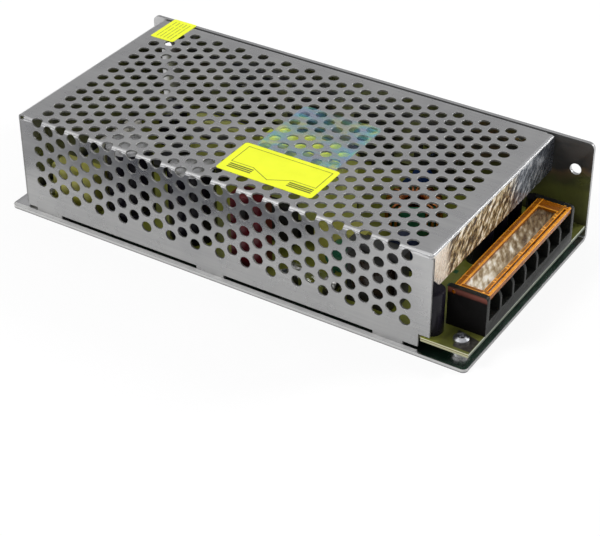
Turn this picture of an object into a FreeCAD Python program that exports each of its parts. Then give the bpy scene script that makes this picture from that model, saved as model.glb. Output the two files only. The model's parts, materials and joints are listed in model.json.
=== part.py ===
import FreeCAD, Part
import math
import os

# Mesh case switching power supply, in millimetres.
# X runs along the case towards the terminal end, Y from the perforated side wall
# towards the tall plain wall, and Z up. The origin is the middle of the case's underside.

V = FreeCAD.Vector
RIGHT = V(1, 0, 0)
FAR = V(0, 1, 0)
UP = V(0, 0, 1)
NEAR = V(0, -1, 0)

# Chassis: one sheet folded into a base and a tall far wall
case_length = 199.0
case_width = 98.0
case_height = 42.0
chassis_sheet = 1.5
chassis_bend = 1.0
base_corner = 2.0
ear_corner = 2.5
ear_hole = 4.5
ear_hole_from_end = 6.5
ear_hole_from_top = 12.4
base_hole = 4.0
base_hole_spacing_x = 150.0
base_hole_spacing_y = 50.0

# Cover: one perforated sheet folded into a top, a near wall, an end wall and two flanges
cover_sheet = 0.8
cover_bend = 0.6
cover_near_inset = 1.8
cover_left_inset = 5.4
cover_right_inset = 15.2
cover_fit = 0.12
cover_foot_gap = 1.3
cover_flange = 9.0
front_flap = 14.7
flap_corner = 4.0
bend_relief = 2.0
notch_width = 4.4
notch_height = 6.7
foot_tab = 12.0
foot_tab_drop = 2.2
foot_tab_play = 0.25
foot_tabs = 3

# Perforation: staggered columns that carry on over the near fold
hole_size = 4.5
column_pitch = 5.48
row_pitch = 6.71
first_column = 9.6
end_margin = 5.0
far_margin = 5.5
foot_margin = 6.0
row_start_in = 0.6
fold_hole_height = 4.0

# Circuit board on turned pillars
board_sheet = 1.6
pillar_height = 4.0
pillar_size = 6.5
board_right_inset = 0.2
board_left_gap = 2.0
board_side_gap = 0.8
board_shelf_inset = 2.0
board_hole = 3.4
pillar_from_edge = 5.0
corner_pillar_from_right = 5.9
corner_pillar_from_near = 6.0
rear_pillar_from_right = 32.0
middle_pillar_from_selector = 14.5
insulation_sheet_size = 0.3
insulation_margin = 9.0

# Fasteners
small_screw = 3.0
small_head = 5.8
small_head_height = 2.0
cover_screws = 3
cover_screw_margin = 14.0
cover_screw_length = 4.2
countersink = 5.4
countersink_depth = 1.2

# Labels on the cover
label_sheet = 0.15
label_length = 40.4
label_width = 20.4
label_x = 10.9
label_y = -28.4
seal_length = 11.0
seal_width = 17.2
seal_from_left = 4.6
film_length = 34.0
film_width = 34.0
film_x = 11.5
film_y = -0.8
film_sheet = 0.06

# Terminal block
poles = 7
pole_pitch = 9.5
block_y = -0.5
block_depth = 15.2
block_overhang = 0.2
partition = 1.5
end_wall = 2.2
block_back = 1.6
shelf_height = 5.4
partition_height = 13.7
hinge_cut_height = 12.3
hinge_cut_depth = 4.4
partition_nose = 4.0
end_wall_nose = 1.5
contact_sheet = 0.8
contact_width = 6.6
contact_front_gap = 4.0
contact_pin = 1.2
contact_pin_drop = 1.0
contact_play = 0.1
clamp_washer = 6.2
clamp_sheet = 0.8
terminal_thread = 3.0
terminal_head = 5.8
terminal_head_height = 2.2
terminal_shank = 4.6
terminal_screw_from_back = 7.0
terminal_play = 0.15
slot_width = 0.9
slot_depth = 0.9

# Hinged amber lid over the terminals
lid_sheet = 1.0
lid_near_rim = 1.6
lid_far_rim = 4.8
lid_front_band = 3.4
lid_groove = 0.9
lid_groove_from_front = 1.1
lid_rim_height = 2.2
lid_end_gap = 0.15
lid_front_gap = 0.3
lid_seat_gap = 0.1
hinge_from_back = 2.3
hinge_pin = 1.6
hinge_play = 0.08
lid_barrel = 1.7

# Trimmer, lamp and selector switch
trimmer_size = 6.0
trimmer_height = 8.2
trimmer_rotor = 4.4
trimmer_rotor_height = 1.3
trimmer_rotor_depth = 1.2
trimmer_play = 0.1
trimmer_from_right = 7.1
trimmer_from_far = 5.2
lamp_size = 3.0
lamp_height = 9.6
lamp_flange = 3.8
lamp_leg = 0.6
lamp_spacing = 6.2
selector_length = 13.0
selector_width = 7.5
selector_head_gap = 4.1
selector_x = 7.0
selector_wall_gap = 1.6
selector_window_height = 4.4
selector_window_depth = 2.6
selector_travel = 4.0
selector_knob = 5.0
selector_knob_out = 0.9
selector_window_from_top = 7.0
selector_play = 0.12

# Input side parts, some of them placed from the board's closed end
bulk_size = 18.0
bulk_head_gap = 5.1
bulk_count = 2
bulk_pitch = 28.5
bulk_from_left = 40.3
bulk_wall_gap = 2.4
bulk_groove = 0.5
film_cap_length = 20.0
film_cap_depth = 9.0
film_cap_height = 16.0
film_cap_from_left = 19.8
line_cap_x = 24.5
line_cap_y = -26.0
bridge_length = 20.0
bridge_depth = 4.4
bridge_height = 16.0
bridge_lift = 1.5
bridge_x = -5.0
bridge_y = -25.5
fuse_length = 20.0
fuse_glass = 5.0
fuse_cap = 5.4
fuse_cap_length = 5.0
fuse_lift = 2.2
fuse_x = 24.7
fuse_wall_gap = 4.2
clip_sheet = 0.5
clip_depth = 5.0
thermistor_size = 11.0
thermistor_depth = 5.0
thermistor_x = 38.5
thermistor_y = -29.5
varistor_size = 12.0
varistor_depth = 4.2
varistor_x = 55.0
varistor_y = -14.0
disc_leg = 0.8
disc_lift = 3.0
filter_x = 56.0
filter_from_near = 11.6

# Wound parts: outer core length and height, core depth, leg width, winding overhang
main_core = 36.0
main_core_head_gap = 2.1
main_core_depth = 11.0
main_core_leg = 8.6
main_core_x = 8.0
main_core_y = -3.0
main_wind = 8.5
driver_core = 22.0
driver_core_height = 19.0
driver_core_depth = 7.0
driver_core_leg = 5.2
driver_core_from_left = 50.3
driver_core_y = 9.0
driver_wind = 5.0
filter_core = 22.0
filter_core_height = 20.0
filter_core_depth = 6.0
filter_core_leg = 5.0
filter_wind = 4.2
bobbin_flange = 1.0
bobbin_foot = 2.0
winding_gap = 0.1

# Output side parts
ring_x = 45.0
ring_y = 12.0
ring_outer = 19.0
ring_inner = 10.0
ring_height = 10.5
ring_wire = 1.6
ring_gap_angle = 50.0
output_cap_size = 10.0
output_cap_height = 20.0
output_cap_pitch = 11.5
output_caps = 3
output_cap_from_block = 9.0
output_cap_first_y = 6.5
corner_cap_size = 9.0
corner_cap_under_flap = 3.2
corner_cap_from_flap = 2.8
corner_cap_wall_gap = 0.9
small_cap_size = 6.3
small_cap_height = 11.0
small_cap_from_left = 21.3
small_cap_first_y = 14.0
small_cap_pitch = 9.0
disc_cap_size = 8.0
disc_cap_depth = 3.0
disc_cap_x = 36.0
disc_cap_y = 27.0
disc_cap_pitch = 8.0
resistor_size = 5.0
resistor_length = 15.0
resistor_lift = 0.6
resistor_from_left = 16.3
resistor_y = -20.0
resistor_pitch = 8.0
resistors = 3
chip_length = 19.5
chip_width = 6.4
chip_height = 3.4
chip_from_left = 31.3
chip_y = -8.0
chip_lift = 0.5
chip_pins = 8
chip_pin_pitch = 2.54
chip_pin = 0.5

# Power semiconductors clamped to a spreader on the far wall
spreader_length = 116.0
spreader_x = -12.0
spreader_sheet = 3.0
spreader_under_flange = 1.9
spreader_lift = 4.0
power_body = 15.6
power_body_lift = 0.8
power_body_under_top = 0.2
power_body_depth = 4.8
power_lead = 1.1
power_lead_pitch = 5.2
transistor_x = -48.0
diode_x = 10.0
power_pitch = 27.0
power_hole_from_top = 5.5

# Levels and faces that other pieces line up with
base_top = chassis_sheet
board_bottom = base_top + pillar_height
board_top = board_bottom + board_sheet
case_right = case_length / 2
case_left = -case_length / 2
case_near = -case_width / 2
case_far = case_width / 2
wall_inside = case_far - chassis_sheet
cover_left = case_left + cover_left_inset
cover_right = case_right - cover_right_inset
cover_near = case_near + cover_near_inset
cover_inside = cover_near + cover_sheet
cover_far = wall_inside - cover_fit
cover_outer_bend = cover_sheet + cover_bend
cover_foot = base_top + cover_foot_gap
cover_under = case_height - cover_sheet
board_right = case_right - board_right_inset
board_left = cover_left + cover_sheet + board_left_gap
board_near = cover_inside + board_side_gap
board_far = wall_inside - board_side_gap
shelf_near = case_near + board_shelf_inset
shelf_left = cover_right - notch_width + board_side_gap
block_right = board_right + block_overhang
block_left = block_right - block_depth
shelf_top = board_top + shelf_height
contact_top = shelf_top + contact_sheet
partition_top = board_top + partition_height
inner_half = poles * pole_pitch / 2 - partition / 2
lid_bottom = partition_top + lid_seat_gap
lid_top = lid_bottom + lid_rim_height
hinge_x = block_left + hinge_from_back
hinge_z = lid_bottom + lid_sheet / 2
screw_x = block_left + terminal_screw_from_back
trimmer_x = board_right - trimmer_from_right
trimmer_y = board_far - trimmer_from_far
spreader_bottom = board_top + spreader_lift
spreader_top = case_height - cover_flange - spreader_under_flange
pillar_places = (
    (board_right - corner_pillar_from_right, shelf_near + corner_pillar_from_near),
    (board_right - rear_pillar_from_right, board_far - pillar_from_edge),
    (selector_x + middle_pillar_from_selector, board_near + pillar_from_edge),
    (board_left + pillar_from_edge, board_near + pillar_from_edge),
    (board_left + pillar_from_edge, board_far - pillar_from_edge),
)


def box(x0, x1, y0, y1, z0, z1):
    return Part.makeBox(x1 - x0, y1 - y0, z1 - z0, V(x0, y0, z0))


def cylinder(radius, length, start, direction=UP):
    return Part.makeCylinder(radius, length, start, direction)


def prism(points, direction):
    outline = Part.makePolygon(points + [points[0]])
    return Part.Face(outline).extrude(direction)


def joined(shapes):
    first = shapes[0]
    if len(shapes) == 1:
        return first
    return first.fuse(shapes[1:]).removeSplitter()


def turned(profile, centre):
    # A solid turned about a vertical axis from (radius, height) pairs
    points = [centre + V(radius, 0, height) for radius, height in profile]
    outline = Part.makePolygon(points + [points[0]])
    return Part.Face(outline).revolve(centre, UP, 360)


def spread(count, pitch, middle=0.0):
    return [middle + (index - (count - 1) / 2) * pitch for index in range(count)]


def save(name, shapes):
    for shape in shapes:
        if not shape.isValid():
            raise ValueError(name + " is not a valid solid")
    body = shapes[0] if len(shapes) == 1 else Part.makeCompound(shapes)
    body.exportStep("parts/" + name + ".step")


# Chassis


def folded_corner(inside_y, top_z, sheet, bend, height, start_x, length):
    # L section with a rounded fold: a floor up to inside_y, then a wall up to height
    outer = bend + sheet
    face = inside_y + sheet
    bottom = top_z - sheet
    middle = V(start_x, inside_y - bend, top_z + bend)
    slant = math.sqrt(0.5)
    a = V(start_x, case_near, bottom)
    b = V(start_x, inside_y - bend, bottom)
    c = V(start_x, face, top_z + bend)
    d = V(start_x, face, height)
    e = V(start_x, inside_y, height)
    f = V(start_x, inside_y, top_z + bend)
    g = V(start_x, inside_y - bend, top_z)
    h = V(start_x, case_near, top_z)
    outer_middle = middle + V(0, outer * slant, -outer * slant)
    inner_middle = middle + V(0, bend * slant, -bend * slant)
    edges = [
        Part.makeLine(a, b),
        Part.Arc(b, outer_middle, c).toShape(),
        Part.makeLine(c, d),
        Part.makeLine(d, e),
        Part.makeLine(e, f),
        Part.Arc(f, inner_middle, g).toShape(),
        Part.makeLine(g, h),
        Part.makeLine(h, a),
    ]
    return Part.Face(Part.Wire(edges)).extrude(V(length, 0, 0))


def rounded(shape, edges_at, radius):
    # Rounds the edges whose middles lie at the given points
    chosen = []
    for edge in shape.Edges:
        middle = edge.CenterOfMass
        if any((middle - point).Length < 0.01 for point in edges_at):
            chosen.append(edge)
    return shape.makeFillet(radius, chosen)


def tab_places():
    span = cover_right - cover_left - notch_width - 2 * foot_tab
    return spread(foot_tabs, span / (foot_tabs - 1), (cover_left + cover_right - notch_width) / 2)


def cover_screw_places():
    reach = cover_right - cover_left - 2 * cover_screw_margin
    return spread(cover_screws, reach / (cover_screws - 1), (cover_left + cover_right) / 2)


def cover_screw_z():
    return case_height - cover_flange + 3.0


def spreader_screw_places():
    places = [transistor_x, transistor_x + power_pitch, diode_x, diode_x + power_pitch]
    return places


def power_hole_z():
    return spreader_top - power_hole_from_top


def make_chassis():
    sheet = folded_corner(
        wall_inside, base_top, chassis_sheet, chassis_bend, case_height, case_left, case_length
    )
    half = chassis_sheet / 2
    base_corners = [V(x, case_near, half) for x in (case_left, case_right)]
    ear_corners = [V(x, case_far - half, case_height) for x in (case_left, case_right)]
    sheet = rounded(sheet, base_corners, base_corner)
    sheet = rounded(sheet, ear_corners, ear_corner)
    cuts = []
    for x in (case_left + ear_hole_from_end, case_right - ear_hole_from_end):
        start = V(x, wall_inside - 1, case_height - ear_hole_from_top)
        cuts.append(cylinder(ear_hole / 2, chassis_sheet + 2, start, FAR))
    for x in spread(2, base_hole_spacing_x):
        for y in spread(2, base_hole_spacing_y):
            cuts.append(cylinder(base_hole / 2, chassis_sheet + 2, V(x, y, -1)))
    slot_half = foot_tab / 2 + foot_tab_play
    for x in tab_places():
        slot_near = cover_near - foot_tab_play
        slot_far = cover_inside + foot_tab_play
        cuts.append(box(x - slot_half, x + slot_half, slot_near, slot_far, -1, base_top + 1))
    for x in cover_screw_places():
        z = cover_screw_z()
        cuts.append(cylinder(small_screw / 2, chassis_sheet + 2, V(x, wall_inside - 1, z), FAR))
        start = V(x, case_far, z)
        cuts.append(
            Part.makeCone(countersink / 2, small_screw / 2, countersink_depth, start, NEAR)
        )
    return sheet.cut(cuts)


# Cover


def bend_strip(corner, start, length, along):
    # Quarter of a tube about the fold's centre line, kept inside its corner box
    outer = cylinder(cover_outer_bend, length, start, along)
    inner = cylinder(cover_bend, length, start, along)
    return outer.cut(inner).common(corner)


def cover_near_fold(x0, x1):
    centre = V(x0, cover_near + cover_outer_bend, case_height - cover_outer_bend)
    corner = box(x0, x1, cover_near, centre.y, centre.z, case_height)
    return bend_strip(corner, centre, x1 - x0, RIGHT)


def cover_far_fold(x0, x1):
    centre = V(x0, cover_far - cover_outer_bend, case_height - cover_outer_bend)
    corner = box(x0, x1, centre.y, cover_far, centre.z, case_height)
    return bend_strip(corner, centre, x1 - x0, RIGHT)


def cover_end_fold(x_outer, inward, y0, y1):
    centre = V(x_outer + inward * cover_outer_bend, y0, case_height - cover_outer_bend)
    x_low = min(x_outer, centre.x)
    x_high = max(x_outer, centre.x)
    corner = box(x_low, x_high, y0, y1, centre.z, case_height)
    return bend_strip(corner, centre, y1 - y0, FAR)


def column_places():
    usable = cover_right - cover_left - first_column - end_margin
    count = int(usable / column_pitch) + 1
    return [cover_left + first_column + index * column_pitch for index in range(count)]


def row_places(start, limit, step):
    # Positions from the fold outwards for one column, as far as the margin lets them go
    reach = abs(limit - start)
    sign = 1 if limit > start else -1
    places = []
    distance = step
    while distance <= reach:
        places.append(start + sign * distance)
        distance += row_pitch
    return places


def perforations():
    # Four-sided punches of the same open area as the round holes
    half = hole_size * math.sqrt(math.pi / 8)
    through = cover_sheet + 2
    first_y = cover_near + row_start_in
    first_z = case_height + row_start_in / 2
    last_y = cover_far - far_margin
    last_z = cover_foot + foot_margin
    cuts = []
    for index, x in enumerate(column_places()):
        on_fold = index % 2 == 0
        step = row_pitch if on_fold else row_pitch / 2
        for y in row_places(first_y, last_y, step):
            z = cover_under - 1
            points = [V(x - half, y, z), V(x, y - half, z), V(x + half, y, z), V(x, y + half, z)]
            cuts.append(prism(points, UP * through))
        for z in row_places(first_z, last_z, step):
            y = cover_near - 1
            points = [V(x - half, y, z), V(x, y, z - half), V(x + half, y, z), V(x, y, z + half)]
            cuts.append(prism(points, FAR * through))
        if on_fold:
            cuts.append(fold_punch(x, half))
    return cuts


def fold_punch(x, half):
    slant = math.sqrt(0.5)
    outward = V(0, -slant, slant)
    across = V(0, slant, slant) * (fold_hole_height / 2)
    corner = V(x, cover_near, case_height)
    start = corner - outward * (2 * cover_outer_bend)
    points = [start - RIGHT * half, start - across, start + RIGHT * half, start + across]
    return prism(points, outward * (3 * cover_outer_bend))


def make_cover():
    bend = cover_outer_bend
    top_left = cover_left + bend
    top_right = cover_right - bend
    top_near = cover_near + bend
    top_far = cover_far - bend
    fold_left = top_left + bend_relief
    fold_right = cover_right
    flange_right = top_right - bend_relief
    wall_top = case_height - bend
    pieces = [
        box(top_left, top_right, top_near, top_far, cover_under, case_height),
        cover_near_fold(fold_left, top_right),
        box(cover_left + bend_relief, fold_right, cover_near, cover_inside, cover_foot, wall_top),
        cover_far_fold(fold_left, flange_right),
        box(fold_left, flange_right, cover_far - cover_sheet, cover_far,
            case_height - cover_flange, wall_top),
        cover_end_fold(cover_left, 1, top_near, top_far - bend_relief),
        box(cover_left, cover_left + cover_sheet, top_near, top_far - bend_relief,
            cover_foot, wall_top),
        cover_end_fold(cover_right, -1, top_near, top_far),
        front_flap_plate(top_near, top_far, wall_top),
    ]
    for x in tab_places():
        half = foot_tab / 2
        pieces.append(
            box(x - half, x + half, cover_near, cover_inside,
                cover_foot - foot_tab_drop, cover_foot)
        )
    sheet = joined(pieces)
    notch_left = cover_right - notch_width
    cuts = [box(notch_left, cover_right + 1, cover_near - 1, cover_inside + 1,
                base_top - 1, base_top + notch_height)]
    for x in cover_screw_places():
        start = V(x, cover_far - cover_sheet - 1, cover_screw_z())
        cuts.append(cylinder(small_screw / 2, cover_sheet + 2, start, FAR))
    sheet = sheet.cut(cuts)
    return sheet.cut(perforations())


def front_flap_plate(y0, y1, top_z):
    bottom = case_height - front_flap
    x = cover_right - cover_sheet
    points = [
        V(x, y0, top_z),
        V(x, y0, bottom + flap_corner),
        V(x, y0 + flap_corner, bottom),
        V(x, y1, bottom),
        V(x, y1, top_z),
    ]
    return prism(points, RIGHT * cover_sheet)


def make_cover_screws():
    screws = []
    for x in cover_screw_places():
        start = V(x, case_far, cover_screw_z())
        head = Part.makeCone(countersink / 2, small_screw / 2, countersink_depth, start, NEAR)
        shank = cylinder(small_screw / 2, cover_screw_length, start, NEAR)
        screws.append(head.fuse(shank).removeSplitter())
    return screws


# Labels


def make_labels():
    half_length = label_length / 2
    half_width = label_width / 2
    label = box(label_x - half_length, label_x + half_length, label_y - half_width,
                label_y + half_width, case_height, case_height + label_sheet)
    save("voltage_label", [label])
    left = cover_left + seal_from_left
    seal = box(left, left + seal_length, case_far - seal_width, case_far,
               case_height, case_height + label_sheet)
    save("inspection_label", [seal])
    film = box(film_x - film_length / 2, film_x + film_length / 2, film_y - film_width / 2,
               film_y + film_width / 2, case_height, case_height + film_sheet)
    save("clear_seal", [film])


# Board and its supports


def pan_screw(centre, under_head, length, thread, head, head_height):
    # Domed head with a cross recess, its underside at under_head
    profile = [
        (0, under_head - length),
        (thread / 2, under_head - length),
        (thread / 2, under_head),
        (head / 2, under_head),
        (head / 2, under_head + head_height * 0.55),
        (head * 0.3, under_head + head_height),
        (0, under_head + head_height),
    ]
    body = turned(profile, V(centre.x, centre.y, 0))
    top = under_head + head_height
    reach = head * 0.28
    half = slot_width / 2
    for size_x, size_y in ((reach, half), (half, reach)):
        body = body.cut(box(centre.x - size_x, centre.x + size_x, centre.y - size_y,
                            centre.y + size_y, top - slot_depth, top + 1))
    return body


def make_board():
    points = [
        V(board_left, board_near, board_bottom),
        V(shelf_left, board_near, board_bottom),
        V(shelf_left, shelf_near, board_bottom),
        V(board_right, shelf_near, board_bottom),
        V(board_right, board_far, board_bottom),
        V(board_left, board_far, board_bottom),
    ]
    board = prism(points, UP * board_sheet)
    cuts = []
    for x, y in pillar_places:
        cuts.append(cylinder(board_hole / 2, board_sheet + 2, V(x, y, board_bottom - 1)))
    pin_half = contact_pin / 2 + contact_play
    for y in pole_places():
        pin_x = contact_pin_x()
        cuts.append(box(pin_x - pin_half, pin_x + pin_half, y - pin_half, y + pin_half,
                        board_bottom - 1, board_top + 1))
    save("circuit_board", [board.cut(cuts)])


def make_supports():
    pillars = []
    screws = []
    bore = small_screw / 2
    for x, y in pillar_places:
        pillar = cylinder(pillar_size / 2, pillar_height, V(x, y, base_top))
        pillars.append(pillar.cut(cylinder(bore, pillar_height + 2, V(x, y, base_top - 1))))
        screws.append(pan_screw(V(x, y, 0), board_top, board_sheet + pillar_height - 0.5,
                                small_screw, small_head, small_head_height))
    save("board_pillars", pillars)
    save("board_screws", screws)


def make_insulation():
    sheet = box(cover_left + insulation_margin, cover_right - insulation_margin,
                case_near + insulation_margin, wall_inside - insulation_margin,
                base_top, base_top + insulation_sheet_size)
    for x, y in pillar_places:
        clear = pillar_size / 2 + 1
        sheet = sheet.cut(box(x - clear, x + clear, y - clear, y + clear,
                              base_top - 1, base_top + 2))
    save("insulation_sheet", [sheet])


# Terminal block


def pole_places():
    return spread(poles, pole_pitch, block_y)


def contact_pin_x():
    return block_left + block_back + contact_pin


def wall_profile(y, thickness, top, nose_radius):
    # Side view of one upright wall, from the back of the block to its rounded nose
    slant = nose_radius * math.sqrt(0.5)
    nose = V(block_right - nose_radius, y, top - nose_radius)
    back_low = V(block_left, y, board_top)
    back_high = V(block_left, y, top)
    front_low = V(block_right, y, board_top)
    nose_low = V(block_right, y, nose.z)
    nose_high = V(nose.x, y, top)
    nose_middle = nose + V(slant, 0, slant)
    edges = [
        Part.makeLine(back_low, front_low),
        Part.makeLine(front_low, nose_low),
        Part.Arc(nose_low, nose_middle, nose_high).toShape(),
        Part.makeLine(nose_high, back_high),
        Part.makeLine(back_high, back_low),
    ]
    return Part.Face(Part.Wire(edges)).extrude(FAR * thickness)


def make_terminal_housing():
    low_y = block_y - inner_half
    high_y = block_y + inner_half
    cut_low = board_top + hinge_cut_height
    inner = [
        box(block_left, block_right, low_y, high_y, board_top, shelf_top),
        box(block_left, block_left + block_back, low_y, high_y, shelf_top, cut_low),
    ]
    for y in spread(poles - 1, pole_pitch, block_y):
        inner.append(wall_profile(y - partition / 2, partition, partition_top, partition_nose))
    hinge_room = box(block_left - 1, block_left + hinge_cut_depth, low_y, high_y, cut_low,
                     partition_top + 1)
    housing = joined([
        joined(inner).cut(hinge_room),
        wall_profile(low_y - end_wall, end_wall, lid_top, end_wall_nose),
        wall_profile(high_y, end_wall, lid_top, end_wall_nose),
    ])
    cuts = []
    hole = hinge_pin / 2 + hinge_play
    start = V(hinge_x, low_y - end_wall - 1, hinge_z)
    cuts.append(cylinder(hole, 2 * (inner_half + end_wall) + 2, start, FAR))
    pin_half = contact_pin / 2 + contact_play
    depth = terminal_shank - clamp_sheet - contact_sheet + 0.5
    for y in pole_places():
        pin_x = contact_pin_x()
        cuts.append(box(pin_x - pin_half, pin_x + pin_half, y - pin_half, y + pin_half,
                        board_top - 1, shelf_top + 1))
        cuts.append(cylinder(terminal_thread / 2 + terminal_play, depth + 1,
                             V(screw_x, y, shelf_top - depth)))
    save("terminal_housing", [housing.cut(cuts)])


def make_contacts():
    contacts = []
    half = contact_width / 2
    pin_half = contact_pin / 2
    pin_x = contact_pin_x()
    for y in pole_places():
        plate = box(block_left + block_back + contact_play, block_right - contact_front_gap,
                    y - half, y + half, shelf_top, contact_top)
        pin = box(pin_x - pin_half, pin_x + pin_half, y - pin_half, y + pin_half,
                  board_bottom - contact_pin_drop, shelf_top)
        hole = cylinder(terminal_thread / 2 + terminal_play, contact_sheet + 2,
                        V(screw_x, y, shelf_top - 1))
        contacts.append(joined([plate, pin]).cut(hole))
    save("terminal_contacts", contacts)


def make_terminal_screws():
    washer_top = contact_top + clamp_sheet
    half = clamp_washer / 2
    for index, y in enumerate(pole_places()):
        number = str(index + 1)
        washer = box(screw_x - half, screw_x + half, y - half, y + half, contact_top, washer_top)
        washer = washer.cut(cylinder(terminal_thread / 2, clamp_sheet + 2,
                                     V(screw_x, y, contact_top - 1)))
        save("clamp_washer_" + number, [washer])
        screw = pan_screw(V(screw_x, y, 0), washer_top, terminal_shank, terminal_thread,
                          terminal_head, terminal_head_height)
        save("terminal_screw_" + number, [screw])


def make_lid():
    # Shallow tray with a round back rib, a grooved front band and a pin at each end
    low_y = block_y - inner_half + lid_end_gap
    high_y = block_y + inner_half - lid_end_gap
    front = block_right - lid_front_gap
    floor = lid_bottom + lid_sheet
    tray = box(hinge_x, front, low_y, high_y, lid_bottom, lid_top)
    pocket = box(hinge_x + lid_barrel, front - lid_front_band, low_y + lid_near_rim,
                 high_y - lid_far_rim, floor, lid_top + 1)
    groove_front = front - lid_groove_from_front
    groove = box(groove_front - lid_groove, groove_front, low_y + lid_near_rim,
                 high_y - lid_near_rim, floor, lid_top + 1)
    barrel = cylinder(lid_barrel, high_y - low_y, V(hinge_x, low_y, hinge_z), FAR)
    pins = []
    pin_length = end_wall + lid_end_gap
    pins.append(cylinder(hinge_pin / 2, pin_length, V(hinge_x, low_y - pin_length, hinge_z), FAR))
    pins.append(cylinder(hinge_pin / 2, pin_length, V(hinge_x, high_y, hinge_z), FAR))
    lid = joined([tray.cut([pocket, groove]), barrel] + pins)
    save("terminal_lid", [lid])


# Trimmer, lamp and selector


def make_trimmer():
    half = trimmer_size / 2
    top = board_top + trimmer_height
    well = trimmer_rotor / 2 + trimmer_play
    body = box(trimmer_x - half, trimmer_x + half, trimmer_y - half, trimmer_y + half,
               board_top, top)
    floor = top - trimmer_rotor_depth
    body = body.cut(cylinder(well, trimmer_rotor_depth + 1, V(trimmer_x, trimmer_y, floor)))
    save("trimmer_body", [body])
    height = trimmer_rotor_depth + trimmer_rotor_height - trimmer_play
    centre = V(trimmer_x, trimmer_y, floor + trimmer_play)
    rotor = cylinder(trimmer_rotor / 2, height, centre)
    rotor_top = centre.z + height
    reach = trimmer_rotor * 0.36
    slot = slot_width / 2
    for size_x, size_y in ((reach, slot), (slot, reach)):
        rotor = rotor.cut(box(trimmer_x - size_x, trimmer_x + size_x, trimmer_y - size_y,
                              trimmer_y + size_y, rotor_top - slot_depth, rotor_top + 1))
    save("trimmer_rotor", [rotor])


def make_lamp():
    x = trimmer_x - lamp_spacing
    radius = lamp_size / 2
    top = board_top + lamp_height
    flange_z = top - lamp_size * 1.7
    dome = Part.makeSphere(radius, V(x, trimmer_y, top - radius))
    lamp = [
        cylinder(radius, top - radius - flange_z, V(x, trimmer_y, flange_z)),
        cylinder(lamp_flange / 2, 1.0, V(x, trimmer_y, flange_z)),
        dome,
    ]
    leg = lamp_leg / 2
    for offset in (-1.27, 1.27):
        lamp.append(box(x + offset - leg, x + offset + leg, trimmer_y - leg, trimmer_y + leg,
                        board_top, flange_z + 0.5))
    save("status_lamp", [joined(lamp)])


def make_selector():
    near = board_near + selector_wall_gap
    far = near + selector_width
    left = selector_x - selector_length / 2
    right = selector_x + selector_length / 2
    top = cover_under - selector_head_gap
    body = box(left, right, near, far, board_top, top)
    window_length = selector_knob + selector_travel + 2 * selector_play
    window_left = selector_x - window_length / 2
    window_z = top - selector_window_from_top
    half_height = selector_window_height / 2
    window = box(window_left, window_left + window_length, near - 1,
                 near + selector_window_depth, window_z - half_height, window_z + half_height)
    save("selector_body", [body.cut(window)])
    knob_left = window_left + selector_play
    knob_half = half_height - selector_play
    knob = box(knob_left, knob_left + selector_knob, near - selector_knob_out,
               near + selector_window_depth - selector_play, window_z - knob_half,
               window_z + knob_half)
    notch_x = knob_left + selector_knob / 2
    notch = box(notch_x - 0.6, notch_x + 0.6, near - selector_knob_out - 1,
                near - selector_knob_out + 0.6, window_z - knob_half - 1,
                window_z + knob_half + 1)
    save("selector_slider", [knob.cut(notch)])


# Standing parts of the input side


def can(x, y, size, height):
    # Sleeved aluminium can with a rolled groove near its foot
    radius = size / 2
    waist = radius - bulk_groove
    foot = height * 0.1
    profile = [
        (0, 0),
        (radius, 0),
        (radius, foot),
        (waist, foot + bulk_groove),
        (waist, foot + 2 * bulk_groove),
        (radius, foot + 3 * bulk_groove),
        (radius, height - bulk_groove),
        (waist, height),
        (0, height),
    ]
    return turned(profile, V(x, y, board_top))


def plain_can(x, y, size, height):
    return cylinder(size / 2, height, V(x, y, board_top))


def disc_part(x, y, size, depth, lift):
    # Flat dipped disc that stands on two straight legs
    radius = size / 2
    middle = board_top + lift + radius
    disc = cylinder(radius, depth, V(x, y - depth / 2, middle), FAR)
    leg = disc_leg / 2
    pieces = [disc]
    for offset in (-size * 0.28, size * 0.28):
        pieces.append(box(x + offset - leg, x + offset + leg, y - leg, y + leg,
                          board_top, middle))
    return joined(pieces)


def make_input_parts():
    bulk_x = board_left + bulk_from_left
    bulk_y = cover_inside + bulk_wall_gap + bulk_size / 2
    bulk_height = cover_under - bulk_head_gap - board_top
    bulk = []
    for index in range(bulk_count):
        bulk.append(can(bulk_x + index * bulk_pitch, bulk_y, bulk_size, bulk_height))
    save("bulk_capacitors", bulk)
    cap_left = board_left + film_cap_from_left - film_cap_length / 2
    cap_near = cover_inside + bulk_wall_gap
    cap_top = board_top + film_cap_height
    film_caps = []
    for left, near in ((cap_left, cap_near), (line_cap_x, line_cap_y)):
        film_caps.append(box(left, left + film_cap_length, near, near + film_cap_depth,
                             board_top, cap_top))
    save("film_capacitors", film_caps)
    make_bridge()
    make_fuse()
    thermistor = disc_part(thermistor_x, thermistor_y, thermistor_size, thermistor_depth,
                           disc_lift)
    save("inrush_thermistor", [thermistor])
    varistor = disc_part(varistor_x, varistor_y, varistor_size, varistor_depth, disc_lift)
    save("surge_disc", [varistor])


def make_bridge():
    bottom = board_top + bridge_lift
    body = box(bridge_x, bridge_x + bridge_length, bridge_y, bridge_y + bridge_depth, bottom,
               bottom + bridge_height)
    pieces = [body]
    leg = disc_leg / 2
    middle_y = bridge_y + bridge_depth / 2
    for x in spread(4, 5.08, bridge_x + bridge_length / 2):
        pieces.append(box(x - leg, x + leg, middle_y - leg, middle_y + leg, board_top,
                          bottom + 1))
    save("bridge_rectifier", [joined(pieces)])


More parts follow.
